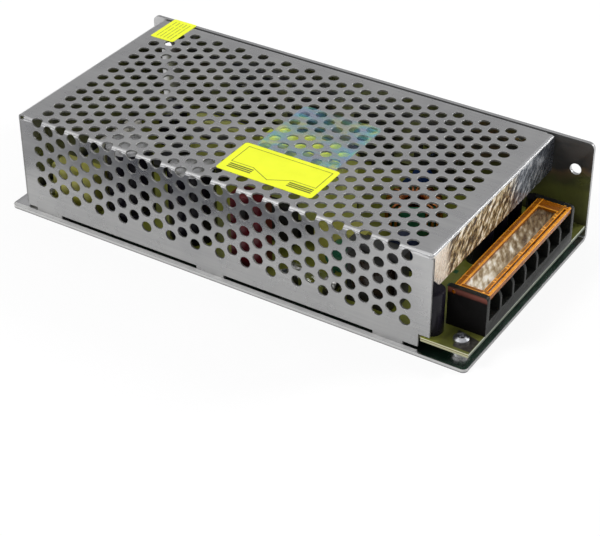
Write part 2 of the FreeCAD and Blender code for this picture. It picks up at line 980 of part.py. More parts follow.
def make_fuse():
    y = board_near + fuse_wall_gap
    z = board_top + fuse_lift + fuse_cap / 2
    glass = cylinder(fuse_glass / 2, fuse_length - 2 * fuse_cap_length,
                     V(fuse_x + fuse_cap_length, y, z), RIGHT)
    save("fuse_glass", [glass])
    caps = []
    clips = []
    for x in (fuse_x, fuse_x + fuse_length - fuse_cap_length):
        caps.append(cylinder(fuse_cap / 2, fuse_cap_length, V(x, y, z), RIGHT))
        outer = fuse_cap / 2 + clip_sheet
        clip = box(x, x + clip_depth, y - outer, y + outer, board_top, z + 0.8)
        bore = cylinder(fuse_cap / 2, clip_depth + 2, V(x - 1, y, z), RIGHT)
        clips.append(clip.cut([bore, box(x - 1, x + clip_depth + 1, y - outer + clip_sheet,
                                         y + outer - clip_sheet, z, z + 3)]))
    save("fuse_caps", caps)
    save("fuse_clips", clips)


# Wound parts


def wound_part(name, x, y, length, height, depth, leg, overhang):
    # Closed ferrite frame with a centre leg, a bobbin round that leg and a taped winding
    bottom = board_top + bobbin_foot
    left = x - length / 2
    right = x + length / 2
    near = y - depth / 2
    far = y + depth / 2
    top = bottom + height
    side = leg / 2
    frame = box(left, right, near, far, bottom, top)
    window_low = bottom + side
    window_high = top - side
    frame = frame.cut([
        box(left + side, x - side, near - 1, far + 1, window_low, window_high),
        box(x + side, right - side, near - 1, far + 1, window_low, window_high),
    ])
    save(name + "_core", [frame])
    wall = bobbin_flange
    out_x = length / 2 - side - winding_gap
    out_y = depth / 2 + overhang
    low = window_low + winding_gap
    high = window_high - winding_gap
    tube = box(x - side - wall, x + side + wall, near - wall, far + wall, low, high)
    lower = box(x - out_x, x + out_x, y - out_y, y + out_y, low, low + wall)
    upper = box(x - out_x, x + out_x, y - out_y, y + out_y, high - wall, high)
    feet = []
    for edge in (-1, 1):
        inner = y + edge * (depth / 2 + winding_gap)
        outer = y + edge * out_y
        feet.append(box(x - out_x, x + out_x, min(inner, outer), max(inner, outer),
                        board_top, low))
    bobbin = joined([tube, lower, upper] + feet)
    bobbin = bobbin.cut(box(x - side, x + side, near, far, low - 1, high + 1))
    save(name + "_bobbin", [bobbin])
    wound_x = out_x - wall / 2
    wound_y = out_y - wall / 2
    wound = box(x - wound_x, x + wound_x, y - wound_y, y + wound_y, low + wall, high - wall)
    upright = [edge for edge in wound.Edges if abs(edge.tangentAt(0).z) > 0.9]
    wound = wound.makeChamfer(min(wound_x, overhang) * 0.4, upright)
    wound = wound.cut(box(x - side - wall, x + side + wall, near - wall, far + wall,
                          low, high))
    save(name + "_winding", [wound])


def make_wound_parts():
    main_core_height = cover_under - main_core_head_gap - board_top - bobbin_foot
    wound_part("transformer", main_core_x, main_core_y, main_core, main_core_height,
               main_core_depth, main_core_leg, main_wind)
    driver_core_x = board_left + driver_core_from_left
    wound_part("driver", driver_core_x, driver_core_y, driver_core, driver_core_height,
               driver_core_depth, driver_core_leg, driver_wind)
    filter_y = board_near + filter_from_near
    wound_part("line_filter", filter_x, filter_y, filter_core, filter_core_height,
               filter_core_depth, filter_core_leg, filter_wind)


# Output side


def make_output_ring():
    # Powdered iron ring under a copper winding that leaves part of the ring bare
    low = board_top + ring_wire
    high = low + ring_height
    centre = V(ring_x, ring_y, 0)
    core = cylinder(ring_outer / 2, ring_height, V(ring_x, ring_y, low))
    core = core.cut(cylinder(ring_inner / 2, ring_height + 2, V(ring_x, ring_y, low - 1)))
    save("inductor_core", [core])
    inner = ring_inner / 2
    outer = ring_outer / 2
    wire = ring_wire
    section = [
        (inner - wire, low),
        (inner - wire / 2, low - wire),
        (outer + wire / 2, low - wire),
        (outer + wire, low),
        (outer + wire, high),
        (outer + wire / 2, high + wire),
        (inner - wire / 2, high + wire),
        (inner - wire, high),
    ]
    points = [V(ring_x + radius, ring_y, height) for radius, height in section]
    outline = Part.makePolygon(points + [points[0]])
    winding = Part.Face(outline).revolve(centre, UP, 360 - ring_gap_angle)
    winding.rotate(centre, UP, ring_gap_angle / 2 - 60)
    save("inductor_winding", [winding.cut(core)])


def make_capacitors():
    x = block_left - output_cap_from_block
    cans = []
    for index in range(output_caps):
        y = output_cap_first_y + index * output_cap_pitch
        cans.append(plain_can(x, y, output_cap_size, output_cap_height))
    corner_top = case_height - front_flap - corner_cap_under_flap
    corner_y = cover_inside + corner_cap_wall_gap + corner_cap_size / 2
    cans.append(plain_can(cover_right - corner_cap_from_flap, corner_y, corner_cap_size,
                          corner_top - board_top))
    save("output_capacitors", cans)
    small = []
    small_cap_x = board_left + small_cap_from_left
    for index in range(2):
        y = small_cap_first_y + index * small_cap_pitch
        small.append(plain_can(small_cap_x, y, small_cap_size, small_cap_height))
    lamp_x = trimmer_x - lamp_spacing
    small.append(plain_can(lamp_x - small_cap_size, trimmer_y, small_cap_size * 0.8,
                           small_cap_height * 0.85))
    save("small_capacitors", small)
    discs = []
    for index in range(2):
        discs.append(disc_part(disc_cap_x, disc_cap_y + index * disc_cap_pitch, disc_cap_size,
                               disc_cap_depth, disc_lift))
    save("noise_capacitors", discs)


def make_resistors():
    # Cement power resistors standing side by side
    pieces = []
    resistor_x = board_left + resistor_from_left
    for index in range(resistors):
        y = resistor_y + index * resistor_pitch
        z = board_top + resistor_lift
        body = box(resistor_x - resistor_size / 2, resistor_x + resistor_size / 2, y,
                   y + resistor_size, z, z + resistor_length)
        legs = box(resistor_x - 0.4, resistor_x + 0.4, y + resistor_size / 2 - 0.4,
                   y + resistor_size / 2 + 0.4, board_top, z + 1)
        pieces.append(joined([body, legs]))
    save("power_resistors", pieces)


def make_chip():
    chip_x = board_left + chip_from_left
    bottom = board_top + chip_lift
    half = chip_width / 2
    pieces = [box(chip_x - half, chip_x + half, chip_y, chip_y + chip_length, bottom,
                  bottom + chip_height)]
    pin = chip_pin / 2
    for y in spread(chip_pins, chip_pin_pitch, chip_y + chip_length / 2):
        for side in (-1, 1):
            inner = chip_x + side * half
            outer = inner + side * chip_pin * 2
            pieces.append(box(min(inner, outer), max(inner, outer), y - pin, y + pin,
                              board_top, bottom + chip_height / 2))
    save("control_chip", [joined(pieces)])


# Power semiconductors on the far wall


def make_spreader():
    near = wall_inside - spreader_sheet
    left = spreader_x - spreader_length / 2
    bar = box(left, left + spreader_length, near, wall_inside, spreader_bottom, spreader_top)
    cuts = []
    for x in spreader_screw_places():
        cuts.append(cylinder(small_screw / 2, spreader_sheet + 2, V(x, near - 1, power_hole_z()),
                             FAR))
    save("heat_spreader", [bar.cut(cuts)])


def power_device(x):
    far = wall_inside - spreader_sheet
    near = far - power_body_depth
    bottom = spreader_bottom + power_body_lift
    half = power_body / 2
    body = box(x - half, x + half, near, far, bottom, spreader_top - power_body_under_top)
    lead = power_lead / 2
    middle = far - power_body_depth / 2
    leads = []
    for lead_x in spread(3, power_lead_pitch, x):
        leads.append(box(lead_x - lead, lead_x + lead, middle - lead, middle + lead, board_top,
                         bottom))
    device = joined([body] + leads)
    bore = cylinder(small_screw / 2, power_body_depth + 2, V(x, near - 1, power_hole_z()), FAR)
    return device.cut(bore)


def make_power_devices():
    save("power_transistors", [power_device(transistor_x),
                               power_device(transistor_x + power_pitch)])
    save("output_rectifiers", [power_device(diode_x), power_device(diode_x + power_pitch)])
    near = wall_inside - spreader_sheet - power_body_depth
    screws = []
    for x in spreader_screw_places():
        shank = cylinder(small_screw / 2, power_body_depth + spreader_sheet - 0.3,
                         V(x, near, power_hole_z()), FAR)
        head = cylinder(small_head / 2, small_head_height, V(x, near, power_hole_z()), NEAR)
        screws.append(joined([shank, head]))
    save("clamp_screws", screws)


def main():
    os.makedirs("parts", exist_ok=True)
    save("chassis", [make_chassis()])
    save("mesh_cover", [make_cover()])
    save("cover_screws", make_cover_screws())
    make_labels()
    make_board()
    make_supports()
    make_insulation()
    make_terminal_housing()
    make_contacts()
    make_terminal_screws()
    make_lid()
    make_trimmer()
    make_lamp()
    make_selector()
    make_input_parts()
    make_wound_parts()
    make_output_ring()
    make_capacitors()
    make_resistors()
    make_chip()
    make_spreader()
    make_power_devices()


main()
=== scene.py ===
import json
import math

import bmesh
import bpy
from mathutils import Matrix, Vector, geometry


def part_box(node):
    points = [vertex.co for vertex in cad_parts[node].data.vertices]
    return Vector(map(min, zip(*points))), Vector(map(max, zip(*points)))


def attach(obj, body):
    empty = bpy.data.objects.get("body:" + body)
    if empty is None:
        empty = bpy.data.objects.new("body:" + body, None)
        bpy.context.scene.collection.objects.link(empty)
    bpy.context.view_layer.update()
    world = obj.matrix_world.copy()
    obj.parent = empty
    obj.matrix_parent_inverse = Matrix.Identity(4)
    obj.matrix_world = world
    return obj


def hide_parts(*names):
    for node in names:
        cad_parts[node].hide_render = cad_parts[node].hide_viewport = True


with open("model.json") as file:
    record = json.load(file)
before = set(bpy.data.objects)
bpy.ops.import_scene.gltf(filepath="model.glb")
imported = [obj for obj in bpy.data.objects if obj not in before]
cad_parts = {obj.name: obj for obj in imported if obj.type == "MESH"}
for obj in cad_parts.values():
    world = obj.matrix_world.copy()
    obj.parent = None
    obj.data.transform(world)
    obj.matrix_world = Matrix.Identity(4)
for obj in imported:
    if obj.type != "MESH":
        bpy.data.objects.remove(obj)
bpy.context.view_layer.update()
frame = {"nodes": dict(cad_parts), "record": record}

# Sizes are written in millimetres and turned into metres by MM
MM = 0.001

# Camera, as worked out from the perforations in the photograph
CAMERA_PLACE = Vector((302.2, -473.7, 367.7)) * MM
CAMERA_AZIMUTH = 32.35
CAMERA_ELEVATION = 34.69
CAMERA_ROLL = -0.18
CAMERA_LENS = 104.74

# Cover sheet and its perforation
SHEET = 0.8 * MM
BEND = 0.6 * MM
OUTER_BEND = SHEET + BEND
MIDDLE_BEND = BEND + SHEET / 2
FOLD_LENGTH = MIDDLE_BEND * math.pi / 2
FOLD_STEPS = 4
RELIEF = 2.0 * MM
FAR_FLANGE = 9.0 * MM
FLAP = 14.7 * MM
FLAP_CORNER = 4.0 * MM
NOTCH_WIDTH = 4.4 * MM
NOTCH_TOP = 8.2 * MM
TAB_LENGTH = 12.0 * MM
TAB_DROP = 2.2 * MM
TAB_COUNT = 3
FOOT = 2.8 * MM
EDGE_BREAK = 0.07 * MM
HOLE_RADIUS = 2.25 * MM
HOLE_SEGMENTS = 28
COLUMN_PITCH = 5.48 * MM
ROW_PITCH = 6.71 * MM
FIRST_COLUMN = 9.6 * MM
COLUMNS = 30
FAR_MARGIN = 5.5 * MM
FOOT_MARGIN = 6.0 * MM
ROW_START = 0.6 * MM

# Terminal lid, measured from its front edge
LID_FRONT_BAND = 3.4 * MM
LID_GROOVE_EDGE = 2.0 * MM

# Terminal block, and the scale at which a wave texture repeats at its 9.5 mm pitch, for the lid's
# painted glints
POLES = 7
GLINT_SCALE = 33.05

# Sheet of the chassis, and the board's two faces above the case's underside
BASE_SHEET = 1.5 * MM
BOARD_LOW = 5.5 * MM
BOARD_HIGH = 7.1 * MM

# Lands on the board, in millimetres
CORNER_LAND = ((99.1, -45.8), (99.1, -38.5), (89.7, -36.1), (92.5, -45.5))
GREEN_LANDS = ((72.5, -5.6), (70.5, 1.5), (74.5, -14.0))

# Depth of the print below a label's upper face
PRINT_DEPTH = 0.005 * MM

# Orange dot: where it is seen on the cover's top, and how far the line of sight
# moves in X and Y for each unit of depth below it
DOT_X = 13.8 * MM
DOT_Y = -2.0 * MM
SIGHT_X = -0.773
SIGHT_Y = 1.22
DOT_RADIUS = 1.9 * MM

# Ring inductor: bore of the core, and the wire round it, with a gap in its sweep
RING_BORE = 5.0 * MM
RING_TURNS = 20
RING_WIRE_RADIUS = 0.68 * MM
RING_START = -35
RING_SWEEP = 310
RING_SQUARENESS = 0.45
STEPS_OF_TURN = 24

# Edges that turn by more than this many degrees stay sharp
SHARP_ANGLE = 30.0

# Floor
FLOOR_REACH = 6.0
FLOOR_GAP = 0.02 * MM

nodes = frame["nodes"]
body_of_node = {}
for body_name, members in frame["record"]["behaviour"]["bodies"].items():
    for member in members:
        body_of_node[member] = body_name


# Materials


def new_material(name):
    made = bpy.data.materials.new(name)
    made.use_nodes = True
    tree = made.node_tree
    return made, tree, tree.nodes["Principled BSDF"]


def connect(tree, node, sockets):
    # Gives each named input of a node a plain value, or links another node's output to it
    for key, value in sockets.items():
        if isinstance(value, bpy.types.NodeSocket):
            tree.links.new(value, node.inputs[key])
        else:
            node.inputs[key].default_value = value


def add_node(tree, kind, inputs=None, **settings):
    made = tree.nodes.new("ShaderNode" + kind)
    for key, value in settings.items():
        setattr(made, key, value)
    connect(tree, made, inputs or {})
    return made


def object_place(tree, stretch=(1, 1, 1), turn=(0, 0, 0)):
    # Place on the object, stretched first and then turned
    place = add_node(tree, "TexCoord").outputs["Object"]
    return add_node(tree, "Mapping",
                    {"Vector": place, "Scale": stretch, "Rotation": turn}).outputs["Vector"]


def slanted_place(tree, turn, stretch):
    # Place on the object, turned before it is stretched, for streaks that run askew
    return add_node(tree, "Mapping",
                    {"Vector": object_place(tree, turn=turn), "Scale": stretch}).outputs["Vector"]


def noise_node(tree, place, scale, detail=4.0, roughness=0.55):
    return add_node(tree, "TexNoise",
                    {"Vector": place, "Scale": scale, "Detail": detail,
                     "Roughness": roughness}).outputs["Fac"]


def wave_node(tree, place, scale, distortion, detail_scale=1.0, **settings):
    return add_node(tree, "TexWave",
                    {"Vector": place, "Scale": scale, "Distortion": distortion,
                     "Detail Scale": detail_scale}, **settings).outputs["Fac"]


def ramp_node(tree, factor, stops):
    made = add_node(tree, "ValToRGB", {"Fac": factor})
    ramp = made.color_ramp
    while len(ramp.elements) < len(stops):
        ramp.elements.new(0.5)
    for element, (position, colour) in zip(ramp.elements, stops):
        element.position = position
        element.color = (*colour, 1.0)
    return made.outputs["Color"]


def range_node(tree, value, low, high, start=0.3, end=0.7):
    return add_node(tree, "MapRange",
                    {"Value": value, "From Min": start, "From Max": end, "To Min": low,
                     "To Max": high}).outputs["Result"]


def bump_node(tree, height, strength, distance, before=None):
    made = add_node(tree, "Bump",
                    {"Height": height, "Strength": strength, "Distance": distance})
    if before is not None:
        connect(tree, made, {"Normal": before})
    return made.outputs["Normal"]


def two_values(tree, operation, first, second):
    return add_node(tree, "Math", {0: first, 1: second}, operation=operation).outputs[0]


def add_share(tree, first, second, share):
    # The first value plus a share of the second
    return two_values(tree, "ADD", first, two_values(tree, "MULTIPLY", second, share))


def axis_share(tree, axis, start, end):
    # How far a point lies between two places along one axis, from 0 to 1
    split = add_node(tree, "SeparateXYZ", {0: object_place(tree)})
    return range_node(tree, split.outputs[axis], 0.0, 1.0, start, end)


def colour_mix(tree, factor, first, second, blend="MIX"):
    return add_node(tree, "Mix", {"Factor": factor, "A": first, "B": second},
                    data_type="RGBA", blend_type=blend).outputs["Result"]


def surface(describe):
    # Turns a function that describes a shader's inputs into one that makes a named material
    def make(name, *values, **options):
        made, tree, shader = new_material(name)
        connect(tree, shader, describe(tree, *values, **options))
        return made

    return make


@surface
def finish(tree, dark, light, grain, rough, bump=0.15, bump_grain=1500.0, bump_depth=0.03 * MM,
           sockets=None):
    # Surface whose colour and gloss drift between two shades over a fine uneven skin
    place = object_place(tree)
    drift = noise_node(tree, place, grain)
    patches = noise_node(tree, place, grain * 0.6, 5.0)
    skin_height = noise_node(tree, place, bump_grain, 3.0)
    return {
        "Base Color": ramp_node(tree, drift, [(0.3, dark), (0.7, light)]),
        "Roughness": range_node(tree, patches, *rough),
        "Normal": bump_node(tree, skin_height, bump, bump_depth),
        **(sockets or {}),
    }


def plated(name, dark, light, grain, rough):
    return finish(name, dark, light, grain, rough, sockets={"Metallic": 1.0})


def dipped(name, dark, light, rough=(0.2, 0.35)):
    return finish(name, dark, light, 300, rough, bump=0.3, bump_grain=500)


@surface
def rolled_metal(tree, dark, light, rough):
    # Cold-rolled sheet: fine grain along the rolling direction, with cloudy patches and smudges
    plain = object_place(tree)
    clouds = noise_node(tree, plain, 45.0, 3.0)
    grain = noise_node(tree, object_place(tree, (30, 900, 900)), 1.0, 6.0, 0.7)
    both = add_node(tree, "Mix", {0: 0.45, 2: clouds, 3: grain}).outputs[0]
    smudges = noise_node(tree, plain, 90.0, 6.0, 0.65)
    return {
        "Metallic": 1.0,
        "Base Color": ramp_node(tree, both, [(0.35, dark), (0.65, light)]),
        "Roughness": range_node(tree, smudges, *rough),
        "Normal": bump_node(tree, grain, 0.10, 0.02 * MM),
    }


@surface
def laminate(tree, dark, light):
    # Glass-cloth board: translucent resin over a fine woven grid, with painted shade darkening it
    # outside the cover
    place = object_place(tree)
    clouds = noise_node(tree, place, 60.0, 4.0)
    colour = ramp_node(tree, clouds, [(0.35, dark), (0.65, light)])
    weave = [wave_node(tree, place, 700.0, 0.6, bands_direction=way) for way in ("X", "Y")]
    cloth = two_values(tree, "MULTIPLY", weave[0], weave[1])
    grey = ramp_node(tree, cloth, [(0.0, (0.7, 0.7, 0.7)), (1.0, (1, 1, 1))])
    colour = colour_mix(tree, 0.12, colour, grey, "MULTIPLY")
    # Painted shade: the board is darker where it stands out past the cover
    outside = axis_share(tree, "X", 82 * MM, 88 * MM)
    painted_shade_outside = ramp_node(tree, outside, [(0.0, (1, 1, 1)), (1.0, (0.30, 0.30, 0.36))])
    return {
        "Base Color": colour_mix(tree, 1.0, colour, painted_shade_outside, "MULTIPLY"),
        "Normal": bump_node(tree, cloth, 0.15, 0.02 * MM),
        "Roughness": range_node(tree, clouds, 0.28, 0.42),
        "Coat Weight": 0.3,
        "Coat Roughness": 0.15,
    }


@surface
def wrapped_tape(tree, dark, light, glow=0.0):
    # Polyester tape wound in layers, with a faint line at each edge of a turn, and a painted glow in
    # its own colour if asked
    place = object_place(tree)
    clouds = noise_node(tree, place, 120.0, 4.0)
    layers = wave_node(tree, place, 300.0, 1.2, bands_direction="Z", wave_profile="SAW")
    creases = noise_node(tree, place, 350.0, 2.0)
    normal = bump_node(tree, layers, 0.2, 0.06 * MM)
    return {
        "Base Color": ramp_node(tree, clouds, [(0.3, dark), (0.7, light)]),
        "Normal": bump_node(tree, creases, 0.25, 0.15 * MM, normal),
        "Roughness": range_node(tree, clouds, 0.16, 0.3),
        # Painted glow
        "Emission Color": (*light, 1.0),
        "Emission Strength": glow,
    }


@surface
def amber_plastic(tree, dark, light, clear, rough, painted_glints=0.0):
    # Moulded amber plastic, with a pair of painted yellow glints at each terminal if wanted, for the
    # screw heads seen through it
    place = object_place(tree)
    drift = noise_node(tree, object_place(tree, (40, 500, 40)), 1.0, 3.0)
    swell = noise_node(tree, place, 130.0, 2.0)
    inputs = {
        "Base Color": ramp_node(tree, drift, [(0.3, dark), (0.7, light)]),
        "Roughness": range_node(tree, drift, *rough),
        "Normal": bump_node(tree, swell, 0.25, 0.3 * MM),
        "Transmission Weight": clear,
        "IOR": 1.49,
    }
    if painted_glints:
        # Painted glints: a yellow glow in pairs at the terminals' pitch
        wave = wave_node(tree, place, GLINT_SCALE, 0.8, 200.0, bands_direction="Y")
        yellow = (1.0, 0.62, 0.12)
        glint_paint = ramp_node(tree, wave, [(0.84, (0, 0, 0)), (0.91, yellow), (0.93, yellow),
                                       (0.99, (0, 0, 0))])
        inputs.update({"Emission Color": glint_paint, "Emission Strength": painted_glints})
    return inputs


@surface
def wall_inside(tree):
    # Inner face of the tall wall: plain grey past the cover's left end; under the cover, painted shade,
    # dark grey above, with painted blurred reflections of the olive and brown board below
    drift = noise_node(tree, object_place(tree, (45, 45, 70)), 1.0, 3.0)
    height = add_share(tree, axis_share(tree, "Z", 6 * MM, 42 * MM),
                       two_values(tree, "SUBTRACT", drift, 0.5), 0.9)
    painted_reflections = ramp_node(tree, height, [
        (0.0, (0.045, 0.045, 0.014)), (0.3, (0.095, 0.10, 0.024)), (0.45, (0.05, 0.052, 0.018)),
        (0.56, (0.085, 0.058, 0.030)), (0.66, (0.022, 0.023, 0.022)), (0.95, (0.040, 0.041, 0.041))])
    left = axis_share(tree, "X", -94.5 * MM, -92.5 * MM)
    skin_height = noise_node(tree, object_place(tree), 900.0)
    return {
        "Base Color": colour_mix(tree, left, (0.52, 0.52, 0.52, 1), painted_reflections),
        "Roughness": range_node(tree, drift, 0.25, 0.4),
        "Normal": bump_node(tree, skin_height, 0.1, 0.02 * MM),
        "Specular IOR Level": 0.8,
    }


@surface
def lid_pane(tree, near_y, far_y):
    # Thin amber pane with a painted reflection of the flap: pale slanted streaks, brightest at its near
    # end
    reflected_streaks = noise_node(tree, slanted_place(tree, (0, 0, -0.5), (560, 160, 100)), 1.0, 2.0, 0.5)
    fine = noise_node(tree, slanted_place(tree, (0, 0, -0.2), (900, 330, 100)), 1.0, 2.0, 0.5)
    both = add_share(tree, reflected_streaks, fine, 0.35)
    # Painted reflection, paler towards the near end
    both = add_share(tree, both, axis_share(tree, "Y", near_y, far_y), -0.40)
    normal = bump_node(tree, reflected_streaks, 0.5, 0.8 * MM)
    return {
        "Base Color": ramp_node(tree, both, [(0.22, (0.18, 0.095, 0.03)), (0.44, (0.38, 0.27, 0.14)),
                                             (0.60, (0.70, 0.61, 0.46)), (0.74, (0.98, 0.96, 0.90))]),
        "Normal": bump_node(tree, fine, 0.25, 0.2 * MM, normal),
        "Roughness": range_node(tree, fine, 0.08, 0.22),
        "Transmission Weight": range_node(tree, both, 0.45, 0.05, 0.3, 0.65),
        "IOR": 1.49,
    }


@surface
def flap_metal(tree, near_y, far_y):
    # Flap coloured with painted reflections: cream at its near end, slanted wavy streaks of the amber
    # lid mirrored in its near half, then a bluish reflection and painted shade, dark at its far end
    streaks = noise_node(tree, slanted_place(tree, (0.75, 0, 0), (100, 600, 240)), 1.0, 2.5, 0.55)
    fine = noise_node(tree, slanted_place(tree, (0.3, 0, 0), (100, 900, 500)), 1.0, 2.0, 0.5)
    both = add_share(tree, streaks, fine, 0.3)
    along = axis_share(tree, "Y", near_y, far_y)
    colour = ramp_node(tree, both, [(0.4, (0.72, 0.63, 0.52)), (0.85, (0.86, 0.79, 0.69))])
    lid_reflection_colour = ramp_node(tree, both, [(0.56, (0.035, 0.02, 0.008)), (0.64, (0.24, 0.16, 0.06)),
                                  (0.71, (0.56, 0.46, 0.27)), (0.80, (0.96, 0.90, 0.76))])
    bluish_reflection_colour = ramp_node(tree, both, [(0.54, (0.06, 0.07, 0.09)), (0.67, (0.20, 0.22, 0.25)),
                                  (0.80, (0.70, 0.72, 0.75))])
    # Along the flap: the painted lid reflection, the painted bluish reflection, then painted dark shade
    dark = (0.035, 0.038, 0.045, 1)
    for shade, most, start, end in ((lid_reflection_colour, 1.0, 0.08, 0.13), (bluish_reflection_colour, 1.0, 0.58, 0.70),
                                    (dark, 0.9, 0.66, 0.95)):
        colour = colour_mix(tree, range_node(tree, along, 0.0, most, start, end), colour, shade)
    return {
        "Metallic": 0.4,
        "Base Color": colour,
        "Normal": bump_node(tree, streaks, 0.35, 0.5 * MM),
        "Roughness": range_node(tree, fine, 0.2, 0.34),
    }


@surface
def layered_edge(tree, low_z, high_z, stops, gloss=0.5):
    # Upright face whose colour changes in thin bands over its height
    fuzz = noise_node(tree, object_place(tree), 900.0, 3.0)
    total = add_share(tree, axis_share(tree, "Z", low_z, high_z), fuzz, 0.12)
    return {
        "Base Color": ramp_node(tree, total, stops),
        "Normal": bump_node(tree, fuzz, 0.3, 0.04 * MM),
        "Roughness": range_node(tree, fuzz, 0.5, 0.7),
        "Specular IOR Level": gloss,
    }


@surface
def rainbow_film(tree, low, high):
    # Clear sticker: nearly unseen in its middle, with teal and blue streaks along both sides
    slanted = noise_node(tree, object_place(tree, (60, 260, 60), (0, 0, 0.7)), 1.0, 4.0)
    crossed = noise_node(tree, object_place(tree, (70, 300, 70), (0, 0, -0.6)), 1.0, 4.0)
    streaks = two_values(tree, "MAXIMUM", slanted, crossed)
    tint = noise_node(tree, object_place(tree), 140.0, 2.0)
    across = axis_share(tree, "X", low.x, high.x)
    away = two_values(tree, "ABSOLUTE", two_values(tree, "SUBTRACT", across, 0.5), 0.0)
    side = range_node(tree, away, 0.3, 0.85, 0.2, 0.45)
    patchy = range_node(tree, streaks, 0.04, 0.45, 0.45, 0.75)
    return {
        "Base Color": ramp_node(tree, tint, [(0.36, (0.28, 0.38, 0.62)), (0.45, (0.16, 0.48, 0.68)),
                                             (0.54, (0.20, 0.64, 0.54)), (0.63, (0.68, 0.78, 0.22))]),
        "Alpha": two_values(tree, "MULTIPLY", side, patchy),
        "Normal": bump_node(tree, streaks, 0.4, 0.2 * MM),
        "Roughness": range_node(tree, tint, 0.08, 0.2),
    }


@surface
def clear_material(tree, colour, rough):
    haze = noise_node(tree, object_place(tree), 500.0, 3.0)
    return {
        "Roughness": range_node(tree, haze, *rough),
        "Base Color": (*colour, 1.0),
        "Transmission Weight": 1.0,
        "IOR": 1.5,
    }


COVER_METAL = rolled_metal("cover metal", (0.46, 0.46, 0.465), (0.585, 0.585, 0.575), (0.24, 0.34))
# Folds: lighter than the flat sheet, a painted highlight along the bends, and glossier
LIGHTENED_FOLD_METAL = rolled_metal("fold metal painted lighter", (0.66, 0.66, 0.665), (0.78, 0.78, 0.78), (0.12, 0.18))
CUT_METAL = rolled_metal("cut metal", (0.36, 0.36, 0.36), (0.50, 0.50, 0.49), (0.5, 0.62))
CHASSIS_METAL = rolled_metal("chassis metal", (0.48, 0.48, 0.485), (0.59, 0.59, 0.59), (0.18, 0.28))
# Tall wall's inner face, in painted shade with painted reflections of the board
WALL_INSIDE = wall_inside("wall inside")
# Base's cut edge: painted contact shadow along its lower part, plain metal above
BASE_EDGE_SHADOWED = layered_edge("base edge", 0.0, BASE_SHEET, [
    (0.0, (0.03, 0.03, 0.03)), (0.20, (0.06, 0.06, 0.06)), (0.36, (0.50, 0.50, 0.49)),
    (0.9, (0.58, 0.58, 0.57))])
# Rough, less metallic copy of the chassis metal on the lip: painted light where the lip would mirror
# the dark slot
BASE_LIP_LIGHT = finish("base lip painted light", (0.50, 0.50, 0.50), (0.62, 0.62, 0.61), 300, (0.55, 0.7),
                  sockets={"Metallic": 0.3})
SPREADER_METAL = rolled_metal("spreader metal", (0.55, 0.55, 0.55), (0.68, 0.68, 0.68), (0.3, 0.42))
BRIGHT_SCREW = plated("nickel plate", (0.62, 0.61, 0.60), (0.78, 0.78, 0.77), 700, (0.14, 0.3))
DULL_SCREW = plated("dull nickel", (0.34, 0.35, 0.37), (0.56, 0.57, 0.60), 900, (0.26, 0.42))
PLATED_STEEL = plated("plated steel", (0.66, 0.64, 0.58), (0.82, 0.80, 0.74), 600, (0.14, 0.28))
TINNED = plated("tinned brass", (0.58, 0.57, 0.53), (0.72, 0.71, 0.66), 400, (0.22, 0.38))
CAN_METAL = plated("can aluminium", (0.70, 0.70, 0.71), (0.82, 0.82, 0.83), 500, (0.22, 0.34))
LEAD_METAL = plated("lead wire", (0.6, 0.6, 0.6), (0.75, 0.75, 0.75), 900, (0.25, 0.4))
BOARD_TOP = laminate("board top", (0.24, 0.26, 0.034), (0.34, 0.36, 0.06))
BOARD_EDGE = layered_edge("board edge", BOARD_LOW, BOARD_HIGH, [
    (0.0, (0.20, 0.20, 0.10)), (0.18, (0.42, 0.42, 0.26)), (0.52, (0.50, 0.49, 0.31)),
    (0.62, (0.16, 0.11, 0.04)), (0.74, (0.20, 0.15, 0.05)), (0.86, (0.62, 0.62, 0.42))])
# Board's side facing +X: painted shade, dark grey-green, with a painted light line at its top
SHADED_BOARD_SIDE = layered_edge("board side", BOARD_LOW, BOARD_HIGH, [
    (0.0, (0.06, 0.075, 0.055)), (0.55, (0.13, 0.15, 0.11)), (0.85, (0.50, 0.53, 0.44))])
BOARD_MASK = finish("board mask", (0.01, 0.06, 0.03), (0.02, 0.10, 0.05), 200, (0.2, 0.3))
DARK_PAD = finish("dark tinned pad", (0.06, 0.055, 0.05), (0.15, 0.14, 0.12), 600, (0.3, 0.45),
                  sockets={"Metallic": 0.8})
PAD_GREEN = finish("green mask", (0.01, 0.09, 0.02), (0.03, 0.16, 0.04), 600, (0.25, 0.4))
LABEL_YELLOW = finish("label yellow", (0.78, 0.84, 0.012), (0.86, 0.92, 0.02), 120, (0.42, 0.55),
                      bump=0.2, bump_grain=260, bump_depth=0.08 * MM)
LABEL_PALE_INK = finish("pale ink", (0.34, 0.37, 0.02), (0.48, 0.52, 0.03), 900, (0.45, 0.6))
LABEL_INK = finish("label ink", (0.10, 0.11, 0.01), (0.16, 0.17, 0.015), 900, (0.45, 0.6))
BLOCK_BLACK = finish("block black", (0.006, 0.0065, 0.006), (0.012, 0.013, 0.011), 250,
                     (0.22, 0.34), bump=0.08, sockets={"Specular IOR Level": 0.15})
# Front face below the bays: dark grey-green in place of the black moulding, painted light on that face
LIT_BLOCK_APRON = finish("block apron painted light", (0.13, 0.14, 0.12), (0.19, 0.20, 0.175), 250, (0.3, 0.42), bump=0.1)
AMBER_RIM = amber_plastic("amber rim", (0.40, 0.11, 0.002), (0.62, 0.20, 0.005), 0.55, (0.14, 0.28))
# Clear amber band on the lid, with painted glints of the screws beneath
AMBER_BAND = amber_plastic("amber band", (0.70, 0.30, 0.02), (0.86, 0.42, 0.04), 0.7, (0.05, 0.12), 0.6)
# Opaque bright orange: painted highlight along the lid's edges
AMBER_EDGE_HIGHLIGHT = amber_plastic("amber edge highlight", (0.80, 0.28, 0.01), (0.98, 0.42, 0.03), 0.0, (0.2, 0.3))
